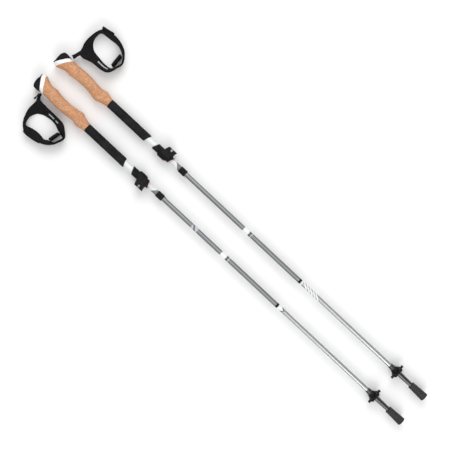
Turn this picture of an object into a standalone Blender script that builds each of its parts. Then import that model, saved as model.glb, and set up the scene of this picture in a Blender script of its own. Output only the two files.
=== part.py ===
"""A pair of folding trekking poles that lie side by side, with the handles toward -X.

Each pole is drawn in its own frame. The shaft's axis runs along X, a station is a distance
back from the rubber foot's end, +Y points out to the side that the hand strap is on, and +Z
points up. The left pole is the right pole mirrored, apart from the lie of its hand strap.
"""

import math

import bmesh
import bpy
from mathutils import Matrix, Vector

# Driving dimensions, in metres.
GAP = 0.0003                 # clearance between two pieces that touch
POLE_SPACING = 0.080         # between the axes of the two shafts

# Lengths along a pole, from the foot's end up to the top of the handle.
FOOT_LENGTH = 0.044          # rubber foot
BARE_TIP_LENGTH = 0.040      # flexible tip between the foot and the basket
BASKET_HEIGHT = 0.018
TIP_COLLAR_LENGTH = 0.011    # taper of the tip above the basket
LOWER_VISIBLE = 0.293        # lower shaft above the tip
JOINT_RING_WIDTH = 0.006
MIDDLE_LENGTH = 0.354        # middle shaft
TENSION_VISIBLE = 0.018      # tension tube below the locking ferrule
FERRULE_LENGTH = 0.019
ADJUST_VISIBLE = 0.029       # adjusting tube below the clamp
CLAMP_LENGTH = 0.051
UPPER_VISIBLE = 0.026        # upper tube between the clamp and the foam
FOAM_LENGTH = 0.124
GRIP_LENGTH = 0.165          # cork, head cap and strap wedge

# Radii and walls of the tubes: each one is sized round what it carries or slides on.
LOWER_RADIUS = 0.0057
SHAFT_STEP = 0.0003          # middle shaft's radius over the lower shaft's
SHAFT_WALL = 0.0007
TUBE_WALL = 0.00065
TUBE_CLEARANCE = 0.00035     # between two tubes that slide in each other
MIDDLE_RADIUS = LOWER_RADIUS + SHAFT_STEP
TENSION_RADIUS = MIDDLE_RADIUS
ADJUST_RADIUS = TENSION_RADIUS + TUBE_CLEARANCE + TUBE_WALL
UPPER_RADIUS = ADJUST_RADIUS + TUBE_CLEARANCE + TUBE_WALL

# Hidden lengths.
SPIGOT_LENGTH = 0.032        # what a shaft loses when it is pulled off its spigot
TIP_SOCKET_DEPTH = 0.026     # lower shaft inside the flexible tip
ADJUST_HIDDEN = 0.285        # adjusting tube above the clamp's lower end
TENSION_HIDDEN = 0.100       # tension tube above the locking ferrule's lower end
GRIP_TUBE_DEPTH = 0.127      # upper tube inside the cork
BUSH_PLUG_LENGTH = 0.012
BUSH_FLANGE = 0.0027
ANCHOR_LENGTH = 0.012
ANCHOR_DEPTH = 0.043         # anchor's top below the lower shaft's end
STOP_LENGTH = 0.007
STOP_DEPTH = 0.013           # cable stop's top below the tension tube's end

# Turned pieces.
FOAM_WALL = 0.0030
FOAM_SLANT = 0.36            # slope of the foam's lower end
FERRULE_WALL = 0.0012
COLLAR_WALL = 0.0020
FOAM_RADIUS = UPPER_RADIUS + FOAM_WALL
FERRULE_RADIUS = ADJUST_RADIUS + FERRULE_WALL
COLLAR_RADIUS = UPPER_RADIUS + COLLAR_WALL
FOOT_END_RADIUS = 0.0105
FOOT_TOP_RADIUS = 0.0086
TIP_RADIUS = 0.0055          # flexible tip at the foot's top
TIP_WALL = 0.0015            # flexible tip round the lower shaft
TIP_SEAT_RADIUS = LOWER_RADIUS + TIP_WALL   # flexible tip under the basket
CABLE_RADIUS = 0.00125
CARBIDE_RADIUS = 0.0025
BASKET_REACH = 0.0201
BASKET_LOBES = 6
BASKET_NOTCH = 0.0056        # depth of the notches between the basket's lobes
BASKET_WEB = 0.0120          # radius inside which the notches leave the basket round

# Handle: rows of distance above the cork's lower end, half-widths behind and in front of the
# axis, and half the thickness across the hand.
GRIP_SECTIONS = [
    (0.0000, 0.0110, 0.0108, 0.0110),
    (0.0115, 0.0130, 0.0130, 0.0125),
    (0.0210, 0.0154, 0.0156, 0.0142),
    (0.0290, 0.0140, 0.0190, 0.0146),
    (0.0360, 0.0122, 0.0186, 0.0141),
    (0.0460, 0.0125, 0.0166, 0.0133),
    (0.0600, 0.0139, 0.0147, 0.0131),
    (0.0740, 0.0153, 0.0136, 0.0135),
    (0.0980, 0.0154, 0.0147, 0.0141),
    (0.1140, 0.0143, 0.0173, 0.0150),
    (0.1265, 0.0138, 0.0160, 0.0166),
    (0.1360, 0.0142, 0.0174, 0.0174),
    (0.1460, 0.0147, 0.0214, 0.0174),
    (0.1530, 0.0150, 0.0242, 0.0170),
    (0.1600, 0.0148, 0.0238, 0.0160),
    (0.1650, 0.0140, 0.0205, 0.0140),
]
GRIP_ROUNDNESS = 2.3         # exponent of the grip's oval section
CORK_TOP_DROP = 0.0258       # cork's sloped top below the handle's top, on the axis
CORK_TOP_SLOPE = 0.65
CAP_TOP_DROP = 0.0140        # head cap's sloped top below the handle's top, on the axis
CAP_TOP_SLOPE = 0.57
CAP_FLOOR = 0.0035           # head cap under its strap slot
STRAP_SLOT_FRONT = -0.0030
WEDGE_HALF_WIDTH = 0.0120
WEDGE_TONGUE = 0.0060        # tongue's depth below the wedge
STRAP_PIN_RADIUS = 0.0015
STRAP_PIN_BACK = 0.0095
STRAP_PIN_DROP = 0.0245      # pin below the handle's top

# Clamp.
CLAMP_SLANT = 0.40           # slope of the collar's two ends
CLAMP_SHOULDER = 0.010       # end of the upper tube above the collar's lower end
EAR_HALF_LENGTH = 0.0110
EAR_REACH = COLLAR_RADIUS + 0.0115
EAR_THICKNESS = 0.0046
EAR_SLIT = 0.0008
BOLT_STATION = 0.014         # bolt above the collar's lower end
BOLT_OUT = COLLAR_RADIUS + 0.0068
BOLT_RADIUS = 0.0020
BOLT_EYE_RADIUS = 0.0034
BOLT_EYE_WIDTH = 0.0050
BOLT_END = 0.0126            # threaded end below the shaft's axis
LEVER_HEAD_RADIUS = 0.0052
LEVER_WIDTH = 0.0240
LEVER_THICKNESS = 0.0028
LEVER_SHEAR = 0.35
LEVER_PIN_RADIUS = 0.0015
LEVER_END_ANGLE = 197.0
NUT_RADIUS = 0.0052
NUT_HEIGHT = 0.0050

# Push-button.
BUTTON_RADIUS = 0.0026
BUTTON_DROP = 0.0045         # button below the locking ferrule
BUTTON_PROUD = 0.0025
LEAF_THICKNESS = 0.00035
LEAF_HALF_WIDTH = 0.0024
LEAF_LENGTH = 0.021

# Hand strap: a padded band in a loop that lies on one edge, with its other edge up.
BAND_WIDTH = 0.030
BAND_THICKNESS = 0.0040
BAND_FLAT = 0.75             # share of the width that has the full thickness
BAND_LOW_TOP = 0.016         # least height of the upper edge, where the band is broadest
WEBBING_WIDTH = 0.0160
WEBBING_THICKNESS = 0.0020
STRAP_SLOT_HALF = WEBBING_WIDTH / 2 + 2 * GAP
PAD_THICKNESS = 0.0065
PAD_HEIGHT = 0.0240
PAD_CLEARANCE = 0.0007       # between the pad's rounded ends and the band
# Rows of the band's upper edge and its lower edge, each a distance below the handle's top and a
# distance out from the axis.
LEFT_LOOP = [
    (0.0320, 0.0290, 0.0535, 0.0563), (0.0460, 0.0295, 0.0632, 0.0511),
    (0.0660, 0.0303, 0.0740, 0.0478), (0.0850, 0.0303, 0.0866, 0.0464),
    (0.1023, 0.0309, 0.0998, 0.0478), (0.1184, 0.0332, 0.1114, 0.0521),
    (0.1340, 0.0440, 0.1250, 0.0560), (0.1430, 0.0531, 0.1352, 0.0585),
    (0.1436, 0.0627, 0.1350, 0.0641), (0.1397, 0.0728, 0.1318, 0.0732),
    (0.1349, 0.0833, 0.1262, 0.0832), (0.1263, 0.0939, 0.1146, 0.0869),
    (0.1147, 0.1011, 0.1045, 0.0929), (0.1020, 0.1069, 0.0935, 0.0911),
    (0.0872, 0.1110, 0.0817, 0.0904), (0.0735, 0.1123, 0.0674, 0.0924),
    (0.0629, 0.1099, 0.0552, 0.0964), (0.0537, 0.1027, 0.0475, 0.0971),
    (0.0441, 0.0910, 0.0436, 0.0908), (0.0385, 0.0785, 0.0415, 0.0784),
    (0.0335, 0.0640, 0.0445, 0.0685), (0.0318, 0.0497, 0.0484, 0.0616),
    (0.0305, 0.0370, 0.0510, 0.0586),
]
RIGHT_LOOP = [
    (0.0290, 0.0372, 0.0390, 0.0722), (0.0425, 0.0345, 0.0466, 0.0671),
    (0.0550, 0.0385, 0.0545, 0.0648), (0.0695, 0.0420, 0.0660, 0.0629),
    (0.0853, 0.0430, 0.0796, 0.0610), (0.0975, 0.0443, 0.0903, 0.0607),
    (0.1074, 0.0475, 0.0990, 0.0614), (0.1143, 0.0535, 0.1055, 0.0631),
    (0.1182, 0.0625, 0.1098, 0.0675), (0.1205, 0.0722, 0.1124, 0.0748),
    (0.1235, 0.0811, 0.1153, 0.0835), (0.1240, 0.0885, 0.1165, 0.0890),
    (0.1210, 0.0960, 0.1142, 0.0955), (0.1149, 0.1047, 0.1078, 0.1035),
    (0.1065, 0.1137, 0.0965, 0.1104), (0.0950, 0.1202, 0.0850, 0.1150),
    (0.0805, 0.1245, 0.0740, 0.1158), (0.0651, 0.1262, 0.0601, 0.1143),
    (0.0508, 0.1240, 0.0454, 0.1130), (0.0380, 0.1190, 0.0345, 0.1118),
    (0.0306, 0.1110, 0.0285, 0.1075), (0.0263, 0.0990, 0.0270, 0.0985),
    (0.0242, 0.0860, 0.0280, 0.0883), (0.0228, 0.0720, 0.0312, 0.0809),
    (0.0238, 0.0550, 0.0350, 0.0761),
]
LEFT_PAD = (12, 21)          # sections of the left loop that its pad runs between
RIGHT_PAD = (17, 27)
LOOP_STEPS = 2               # band sections from one row to the next
# Rows of distance below the handle's top and distance out from the axis, between the pin in
# the head and the loop.
LEFT_WEBBING = [(0.0245, 0.0170), (0.0270, 0.0225)]
RIGHT_WEBBING = [(0.0240, 0.0170), (0.0240, 0.0270)]

# How finely round pieces are faceted.
SIDES = 20
SMALL_SIDES = 12
GRIP_SIDES = 20
BASKET_SIDES = 36
PAD_END_STEPS = 6
WELD = 0.000001
SHARP_ANGLE = math.radians(35.0)

# Stations, worked out from the lengths above.
BASKET_BOTTOM = FOOT_LENGTH + BARE_TIP_LENGTH
BASKET_TOP = BASKET_BOTTOM + BASKET_HEIGHT
TIP_TOP = BASKET_TOP + TIP_COLLAR_LENGTH
LOWER_TOP = TIP_TOP + LOWER_VISIBLE
MIDDLE_BOTTOM = LOWER_TOP + JOINT_RING_WIDTH
MIDDLE_TOP = MIDDLE_BOTTOM + MIDDLE_LENGTH
FERRULE_BOTTOM = MIDDLE_TOP + TENSION_VISIBLE
FERRULE_TOP = FERRULE_BOTTOM + FERRULE_LENGTH
CLAMP_BOTTOM = FERRULE_TOP + ADJUST_VISIBLE
CLAMP_TOP = CLAMP_BOTTOM + CLAMP_LENGTH
FOAM_BOTTOM = CLAMP_TOP + UPPER_VISIBLE
CORK_BOTTOM = FOAM_BOTTOM + FOAM_LENGTH
HANDLE_TOP = CORK_BOTTOM + GRIP_LENGTH
UPPER_TOP = CORK_BOTTOM + GRIP_TUBE_DEPTH
UPPER_BOTTOM = CLAMP_BOTTOM + CLAMP_SHOULDER + GAP
ADJUST_TOP = CLAMP_BOTTOM + ADJUST_HIDDEN
TENSION_TOP = FERRULE_BOTTOM + TENSION_HIDDEN
BOLT_STATION_ON_POLE = CLAMP_BOTTOM + BOLT_STATION
BUTTON_STATION = FERRULE_BOTTOM - BUTTON_DROP
CORK_TOP = HANDLE_TOP - CORK_TOP_DROP
CAP_TOP = HANDLE_TOP - CAP_TOP_DROP


def basket_rim(angle):
    """Radius of the basket's lobed rim at an angle about the shaft, from +Y."""
    notch = (1.0 - math.cos(BASKET_LOBES * angle)) / 2
    return BASKET_REACH - BASKET_NOTCH * notch ** 3


# Heights and radii, worked out in the same way. The pole rests on its basket.
BASKET_ANGLES = [math.tau * i / BASKET_SIDES for i in range(BASKET_SIDES)]
AXIS_HEIGHT = max(basket_rim(angle) * math.sin(angle) for angle in BASKET_ANGLES)
UPPER_BORE = UPPER_RADIUS - TUBE_WALL
ADJUST_BORE = ADJUST_RADIUS - TUBE_WALL
TENSION_BORE = TENSION_RADIUS - SHAFT_WALL
MIDDLE_BORE = MIDDLE_RADIUS - SHAFT_WALL
LOWER_BORE = LOWER_RADIUS - SHAFT_WALL
LEVER_AXIS_HEIGHT = EAR_THICKNESS + GAP + LEVER_HEAD_RADIUS
LEVER_INNER_RADIUS = COLLAR_RADIUS + 2 * GAP

MATERIALS = {
    "rubber": ((0.045, 0.045, 0.047), 0.75, 0.0),
    "black_plastic": ((0.012, 0.012, 0.013), 0.40, 0.0),
    "steel": ((0.56, 0.57, 0.58), 0.30, 1.0),
    "carbide": ((0.30, 0.30, 0.31), 0.35, 1.0),
    "silver_aluminium": ((0.62, 0.64, 0.63), 0.32, 1.0),
    "grey_aluminium": ((0.40, 0.41, 0.41), 0.36, 1.0),
    "white_lacquer": ((0.83, 0.85, 0.84), 0.30, 0.0),
    "white_plastic": ((0.85, 0.85, 0.83), 0.40, 0.0),
    "foam": ((0.016, 0.016, 0.018), 0.90, 0.0),
    "cork": ((0.60, 0.33, 0.17), 0.85, 0.0),
    "black_webbing": ((0.012, 0.012, 0.013), 0.80, 0.0),
    "coated_cable": ((0.05, 0.05, 0.05), 0.50, 0.0),
}


def clear_scene():
    """Remove every object that the scene starts with."""
    for item in list(bpy.data.objects):
        bpy.data.objects.remove(item, do_unlink=True)


def make_material(name):
    """One Principled material from the table."""
    colour, roughness, metallic = MATERIALS[name]
    material = bpy.data.materials.new(name)
    material.use_nodes = True
    shader = material.node_tree.nodes["Principled BSDF"]
    shader.inputs["Base Color"].default_value = (*colour, 1.0)
    shader.inputs["Roughness"].default_value = roughness
    shader.inputs["Metallic"].default_value = metallic
    return material


# Shape tools: each one returns a mesh in the pole's frame.

def to_mesh(shape):
    """Turn a bmesh into a mesh whose faces point out."""
    bmesh.ops.recalc_face_normals(shape, faces=shape.faces)
    mesh = bpy.data.meshes.new("shape")
    shape.to_mesh(mesh)
    shape.free()
    return mesh


def turned(profile, sides=SIDES):
    """A piece turned about the shaft's axis from (station, radius) points.

    A profile that starts and ends on the axis makes a solid piece. One that never meets the
    axis is closed on itself and makes a bored piece.
    """
    shape = bmesh.new()
    points = [shape.verts.new((-station, radius, 0.0)) for station, radius in profile]
    pairs = list(zip(points, points[1:]))
    if profile[0][1] > 0.0:
        pairs.append((points[-1], points[0]))
    edges = [shape.edges.new(pair) for pair in pairs]
    bmesh.ops.spin(shape, geom=points + edges, cent=(0, 0, 0), axis=(1, 0, 0),
                   angle=math.tau, steps=sides, use_merge=True)
    bmesh.ops.remove_doubles(shape, verts=shape.verts, dist=WELD)
    return to_mesh(shape)


def tube(low, high, outer, inner, sides=SIDES):
    """A plain tube between two stations."""
    return turned([(low, outer), (high, outer), (high, inner), (low, inner)], sides)


def cylinder(centre, direction, radius, length, sides=SMALL_SIDES):
    """A round bar about a centre, along any direction."""
    turn = Vector((0, 0, 1)).rotation_difference(Vector(direction)).to_matrix().to_4x4()
    shape = bmesh.new()
    bmesh.ops.create_cone(shape, cap_ends=True, segments=sides, radius1=radius, radius2=radius,
                          depth=length, matrix=Matrix.Translation(centre) @ turn)
    return to_mesh(shape)


def block(low, high):
    """A box between two corners."""
    low, high = Vector(low), Vector(high)
    shape = bmesh.new()
    size = Matrix.Diagonal((*(high - low), 1.0))
    bmesh.ops.create_cube(shape, size=1.0, matrix=Matrix.Translation((low + high) / 2) @ size)
    return to_mesh(shape)


def lofted(rings, closed=False):
    """A solid through rings of points: with flat ends, or closed on itself as a loop."""
    shape = bmesh.new()
    loops = [[shape.verts.new(point) for point in ring] for ring in rings]
    pairs = list(zip(loops, loops[1:]))
    if closed:
        pairs.append((loops[-1], loops[0]))
    else:
        shape.faces.new(loops[0])
        shape.faces.new(loops[-1])
    for here, there in pairs:
        for i in range(len(here)):
            j = (i + 1) % len(here)
            shape.faces.new((here[i], here[j], there[j], there[i]))
    return to_mesh(shape)


def extruded(outline, direction):
    """A prism: an outline of points, pushed along a vector."""
    ends = [[Vector(point) for point in outline]]
    ends.append([point + Vector(direction) for point in ends[0]])
    return lofted(ends)


def sliced(mesh, point, normal):
    """The part of a mesh that lies behind a plane, with the cut closed."""
    shape = bmesh.new()
    shape.from_mesh(mesh)
    everything = shape.verts[:] + shape.edges[:] + shape.faces[:]
    cut = bmesh.ops.bisect_plane(shape, geom=everything, plane_co=point, plane_no=normal,
                                 clear_outer=True)
    rim = [item for item in cut["geom_cut"] if isinstance(item, bmesh.types.BMEdge)]
    bmesh.ops.edgeloop_fill(shape, edges=rim)
    return to_mesh(shape)


def combined(base, tools, operation):
    """A mesh joined to other meshes, or cut by them, in turn."""
    helpers = [bpy.data.objects.new("helper", mesh) for mesh in [base, *tools]]
    for helper in helpers:
        bpy.context.scene.collection.objects.link(helper)
    for helper in helpers[1:]:
        modifier = helpers[0].modifiers.new("combine", "BOOLEAN")
        modifier.operation = operation
        modifier.solver = "EXACT"
        modifier.object = helper
    result = helpers[0].evaluated_get(bpy.context.evaluated_depsgraph_get())
    mesh = bpy.data.meshes.new_from_object(result)
    for helper in helpers:
        bpy.data.objects.remove(helper, do_unlink=True)
    return mesh


def joined(base, *tools):
    return combined(base, tools, "UNION")


def cut(base, *tools):
    return combined(base, tools, "DIFFERENCE")


# Tip section.

def rubber_foot():
    """A rubber foot with a flat end, moulded over the carbide tip."""
    chamber = CARBIDE_RADIUS + 0.0020
    socket_bottom = FOOT_LENGTH - 0.024
    return turned([
        (0.0, 0.0), (0.0, FOOT_END_RADIUS - 0.0012), (0.0012, FOOT_END_RADIUS),
        (FOOT_LENGTH - 0.001, FOOT_TOP_RADIUS), (FOOT_LENGTH, FOOT_TOP_RADIUS - 0.0008),
        (FOOT_LENGTH, TIP_RADIUS + GAP), (socket_bottom, TIP_RADIUS - 0.0006 + GAP),
        (socket_bottom, chamber), (0.007, chamber), (0.007, 0.0),
    ])


def flex_tip():
    """The plastic tip: it holds the carbide and is the socket for the lower shaft."""
    start = FOOT_LENGTH - 0.024 + GAP
    socket = TIP_TOP - TIP_SOCKET_DEPTH
    seat_end = BASKET_TOP + GAP
    return turned([
        (start, TIP_RADIUS - 0.0008), (FOOT_LENGTH, TIP_RADIUS),
        (BASKET_BOTTOM - 0.001, TIP_SEAT_RADIUS - 0.0005), (BASKET_BOTTOM, TIP_SEAT_RADIUS),
        (seat_end, TIP_SEAT_RADIUS), (seat_end, TIP_SEAT_RADIUS + 0.0007),
        (seat_end + 0.002, TIP_SEAT_RADIUS + 0.0002), (TIP_TOP, LOWER_RADIUS + GAP + 0.0004),
        (TIP_TOP, LOWER_RADIUS + GAP), (socket, LOWER_RADIUS + GAP), (socket, 0.0030),
        (start + 0.013, 0.0030), (start + 0.013, CARBIDE_RADIUS + GAP),
        (start, CARBIDE_RADIUS + GAP),
    ])


def carbide_tip():
    """A hard metal point with a hollow end, pressed into the flexible tip."""
    start = FOOT_LENGTH - 0.024
    return turned([
        (0.0095, 0.0), (0.0085, 0.0016), (0.0105, 0.0022), (start - 0.003, 0.0022),
        (start - 0.003, 0.0036), (start, 0.0036), (start, CARBIDE_RADIUS),
        (start + 0.012, CARBIDE_RADIUS), (start + 0.012, 0.0),
    ], SMALL_SIDES)


def basket():
    """A small basket whose rim has rounded lobes and notches between them."""
    bore = TIP_SEAT_RADIUS + GAP
    bottom = BASKET_BOTTOM + 0.001
    mesh = turned([
        (bottom, bore), (bottom, bore + 0.0014), (bottom + 0.008, bore + 0.0020),
        (bottom + 0.0075, BASKET_REACH - 0.0015), (bottom + 0.0085, BASKET_REACH),
        (bottom + 0.0100, BASKET_REACH), (bottom + 0.0115, bore + 0.0035),
        (BASKET_TOP - 0.0015, bore + 0.0020), (BASKET_TOP, bore + 0.0005), (BASKET_TOP, bore),
    ], BASKET_SIDES)
    for vertex in mesh.vertices:
        x, y, z = vertex.co
        radius = math.hypot(y, z)
        share = max(0.0, (radius - BASKET_WEB) / (BASKET_REACH - BASKET_WEB))
        drawn_in = share * (BASKET_REACH - basket_rim(math.atan2(z, y)))
        scale = 1.0 - drawn_in / radius
        vertex.co = (x, y * scale, z * scale)
    return mesh


# Shafts and what is inside them.

def lower_shaft():
    return tube(TIP_TOP - TIP_SOCKET_DEPTH + GAP, LOWER_TOP, LOWER_RADIUS, LOWER_BORE)


def middle_shaft():
    return tube(MIDDLE_BOTTOM, MIDDLE_TOP, MIDDLE_RADIUS, MIDDLE_BORE)


def lower_spigot():
    """The plug in the middle shaft's lower end that the lower shaft slides onto."""
    slim = LOWER_BORE - GAP
    wide = MIDDLE_BORE - GAP
    bore = CABLE_RADIUS + 0.0008
    return turned([
        (LOWER_TOP - SPIGOT_LENGTH, slim - 0.0010), (LOWER_TOP - SPIGOT_LENGTH + 0.004, slim),
        (MIDDLE_BOTTOM + GAP, slim), (MIDDLE_BOTTOM + GAP, wide),
        (MIDDLE_BOTTOM + SPIGOT_LENGTH, wide), (MIDDLE_BOTTOM + SPIGOT_LENGTH, bore),
        (LOWER_TOP - SPIGOT_LENGTH, bore),
    ])


def joint_ring():
    return tube(LOWER_TOP + GAP, MIDDLE_BOTTOM - GAP, LOWER_RADIUS - 0.0001, LOWER_BORE)


def tension_tube():
    """The inner tube that carries the push-button and the middle shaft's spigot."""
    slim = MIDDLE_BORE - GAP
    inner = slim - 0.0011
    shoulder = MIDDLE_TOP + GAP
    body = turned([
        (MIDDLE_TOP - SPIGOT_LENGTH, slim - 0.0006), (MIDDLE_TOP - SPIGOT_LENGTH + 0.004, slim),
        (shoulder, slim), (shoulder, TENSION_RADIUS), (TENSION_TOP, TENSION_RADIUS),
        (TENSION_TOP, TENSION_BORE), (shoulder + 0.002, TENSION_BORE),
        (shoulder + 0.002, inner), (MIDDLE_TOP - SPIGOT_LENGTH, inner),
    ])
    hole = cylinder((-BUTTON_STATION, -TENSION_RADIUS, 0), (0, 1, 0), BUTTON_RADIUS + GAP,
                    2 * BUTTON_PROUD)
    return cut(body, hole)


def lock_button():
    """A round button with a domed end that stands out of the tension tube."""
    outer = TENSION_RADIUS + BUTTON_PROUD
    inner = TENSION_BORE - 0.00075
    rings = [(inner, 1.0), (outer - 0.0007, 1.0), (outer, 0.7)]
    angles = [math.tau * i / SMALL_SIDES for i in range(SMALL_SIDES)]
    return lofted([
        [(-BUTTON_STATION + BUTTON_RADIUS * share * math.cos(a), -out,
          BUTTON_RADIUS * share * math.sin(a)) for a in angles]
        for out, share in rings
    ])


def button_spring():
    """The leaf spring behind the push-button."""
    face = TENSION_BORE - 0.00075 - GAP
    return block((-BUTTON_STATION - LEAF_LENGTH / 2, -face, -LEAF_HALF_WIDTH),
                 (-BUTTON_STATION + LEAF_LENGTH / 2, -face + LEAF_THICKNESS, LEAF_HALF_WIDTH))


def cable_anchor():
    top = LOWER_TOP - ANCHOR_DEPTH
    return tube(top - ANCHOR_LENGTH, top, LOWER_BORE - GAP, CABLE_RADIUS + GAP, SMALL_SIDES)


def tension_cable():
    """The coated cable with its swaged end below the anchor and its stop above."""
    anchor = LOWER_TOP - ANCHOR_DEPTH - ANCHOR_LENGTH - GAP
    stop = TENSION_TOP - STOP_DEPTH
    end = CABLE_RADIUS + 0.0010
    stop_radius = TENSION_BORE - GAP
    return turned([
        (anchor - 0.005, 0.0), (anchor - 0.005, end), (anchor, end), (anchor, CABLE_RADIUS),
        (stop - STOP_LENGTH, CABLE_RADIUS), (stop - STOP_LENGTH, stop_radius),
        (stop, stop_radius), (stop, 0.0),
    ], SMALL_SIDES)


def adjust_tube():
    return tube(FERRULE_BOTTOM + 0.003 + GAP, ADJUST_TOP, ADJUST_RADIUS, ADJUST_BORE)


def guide_bush():
    """The bush on the adjusting tube's top that runs in the upper tube."""
    return turned([
        (ADJUST_TOP - BUSH_PLUG_LENGTH, ADJUST_BORE - GAP), (ADJUST_TOP + GAP, ADJUST_BORE - GAP),
        (ADJUST_TOP + GAP, UPPER_BORE - GAP), (ADJUST_TOP + BUSH_FLANGE, UPPER_BORE - GAP),
        (ADJUST_TOP + BUSH_FLANGE, 0.0035), (ADJUST_TOP - BUSH_PLUG_LENGTH, 0.0035),
    ])


def lock_ferrule():
    """The collar on the adjusting tube's lower end."""
    lip = FERRULE_BOTTOM + 0.003
    seat = ADJUST_RADIUS + GAP
    return turned([
        (FERRULE_BOTTOM, FERRULE_RADIUS - 0.0006), (FERRULE_BOTTOM + 0.001, FERRULE_RADIUS),
        (FERRULE_TOP - 0.0015, FERRULE_RADIUS), (FERRULE_TOP, FERRULE_RADIUS - 0.0005),
        (FERRULE_TOP, seat), (lip, seat), (lip, TENSION_RADIUS + GAP),
        (FERRULE_BOTTOM, TENSION_RADIUS + GAP),
    ])


def upper_tube():
    return tube(UPPER_BOTTOM, UPPER_TOP, UPPER_RADIUS, UPPER_BORE)


# Clamp.

def clamp_collar():
    """The split collar, with a slanted top and bottom and two ears for the bolt."""
    sleeve = turned([
        (CLAMP_BOTTOM - 0.006, 0.0), (CLAMP_BOTTOM - 0.006, COLLAR_RADIUS - 0.0016),
        (CLAMP_BOTTOM + 0.004, COLLAR_RADIUS - 0.0012), (CLAMP_BOTTOM + 0.005, COLLAR_RADIUS),
        (CLAMP_TOP + 0.006, COLLAR_RADIUS), (CLAMP_TOP + 0.006, 0.0),
    ])
    sleeve = sliced(sleeve, (-CLAMP_BOTTOM, 0, 0), (1.0, -CLAMP_SLANT, 0))
    sleeve = sliced(sleeve, (-CLAMP_TOP, 0, 0), (-1.0, CLAMP_SLANT, 0))
    ears = block((-BOLT_STATION_ON_POLE - EAR_HALF_LENGTH, UPPER_RADIUS / 2, -EAR_THICKNESS),
                 (-BOLT_STATION_ON_POLE + EAR_HALF_LENGTH, EAR_REACH, EAR_THICKNESS))
    shoulder = CLAMP_BOTTOM + CLAMP_SHOULDER
    bore = turned([
        (CLAMP_BOTTOM - 0.02, 0.0), (CLAMP_BOTTOM - 0.02, ADJUST_RADIUS + GAP),
        (shoulder, ADJUST_RADIUS + GAP), (shoulder, UPPER_RADIUS + GAP),
        (CLAMP_TOP + 0.02, UPPER_RADIUS + GAP), (CLAMP_TOP + 0.02, 0.0),
    ])
    slit = block((-CLAMP_TOP - 0.02, 0.003, -EAR_SLIT),
                 (-CLAMP_BOTTOM + 0.02, EAR_REACH + 0.005, EAR_SLIT))
    bolt_hole = cylinder((-BOLT_STATION_ON_POLE, BOLT_OUT, 0), (0, 0, 1), BOLT_RADIUS + GAP,
                         4 * EAR_THICKNESS)
    return cut(joined(sleeve, ears), bore, slit, bolt_hole)


def arc(centre, radius, first, last, count):
    """Points (y, z) on an arc, at angles in degrees from +Y toward +Z."""
    steps = [first + (last - first) * i / (count - 1) for i in range(count)]
    angles = [math.radians(step) for step in steps]
    return [(centre[0] + radius * math.cos(a), centre[1] + radius * math.sin(a)) for a in angles]


def clamp_lever():
    """The cam lever: a round head on the pin, and a plate that wraps over the collar."""
    head = (BOLT_OUT, LEVER_AXIS_HEIGHT)
    inner = LEVER_INNER_RADIUS
    outline = arc(head, LEVER_HEAD_RADIUS, 215.0, 455.0, 11)
    outline += arc((0, 0), inner + LEVER_THICKNESS, 80.0, LEVER_END_ANGLE, 9)
    outline += arc((0, 0), inner, LEVER_END_ANGLE, 64.0, 9)
    half = LEVER_WIDTH / 2
    points = [(-BOLT_STATION_ON_POLE + half - LEVER_SHEAR * (BOLT_OUT - y), y, z)
              for y, z in outline]
    plate = extruded(points, (-LEVER_WIDTH, 0, 0))
    slot_half = BOLT_EYE_WIDTH / 2 + GAP
    slot = block((-BOLT_STATION_ON_POLE - slot_half, BOLT_OUT - BOLT_EYE_RADIUS - 0.0008, 0),
                 (-BOLT_STATION_ON_POLE + slot_half, BOLT_OUT + 0.02, 0.03))
    pin_hole = cylinder((-BOLT_STATION_ON_POLE, *head), (1, 0, 0), LEVER_PIN_RADIUS + GAP,
                        2 * LEVER_WIDTH)
    notch_x = -BOLT_STATION_ON_POLE - LEVER_SHEAR * (BOLT_OUT + inner)
    notch = block((notch_x - 0.002, -0.03, -0.012), (notch_x + 0.002, -inner - 0.0012, 0.006))
    return cut(plate, slot, pin_hole, notch)


def lever_pin():
    return cylinder((-BOLT_STATION_ON_POLE, BOLT_OUT, LEVER_AXIS_HEIGHT), (1, 0, 0),
                    LEVER_PIN_RADIUS, LEVER_WIDTH - 0.002)


def clamp_bolt():
    """The eye bolt that pulls the two ears together."""
    centre = (LEVER_AXIS_HEIGHT - BOLT_END) / 2
    shank = cylinder((-BOLT_STATION_ON_POLE, BOLT_OUT, centre), (0, 0, 1), BOLT_RADIUS,
                     LEVER_AXIS_HEIGHT + BOLT_END)
    eye_centre = (-BOLT_STATION_ON_POLE, BOLT_OUT, LEVER_AXIS_HEIGHT)
    eye = cylinder(eye_centre, (1, 0, 0), BOLT_EYE_RADIUS, BOLT_EYE_WIDTH)
    hole = cylinder(eye_centre, (1, 0, 0), LEVER_PIN_RADIUS + GAP, 2 * BOLT_EYE_WIDTH)
    return cut(joined(shank, eye), hole)


def thumb_nut():
    """The nut under the ears, with a grooved rim."""
    top = -EAR_THICKNESS - GAP
    count = 2 * SMALL_SIDES
    rings = []
    for z in (top, top - NUT_HEIGHT):
        radii = [NUT_RADIUS - 0.0006 * (i % 2) for i in range(count)]
        rings.append([(-BOLT_STATION_ON_POLE + r * math.cos(math.tau * i / count),
                       BOLT_OUT + r * math.sin(math.tau * i / count), z)
                      for i, r in enumerate(radii)])
    bore = cylinder((-BOLT_STATION_ON_POLE, BOLT_OUT, top), (0, 0, 1), BOLT_RADIUS + GAP,
                    4 * NUT_HEIGHT)
    return cut(lofted(rings), bore)


# Handle.

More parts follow.
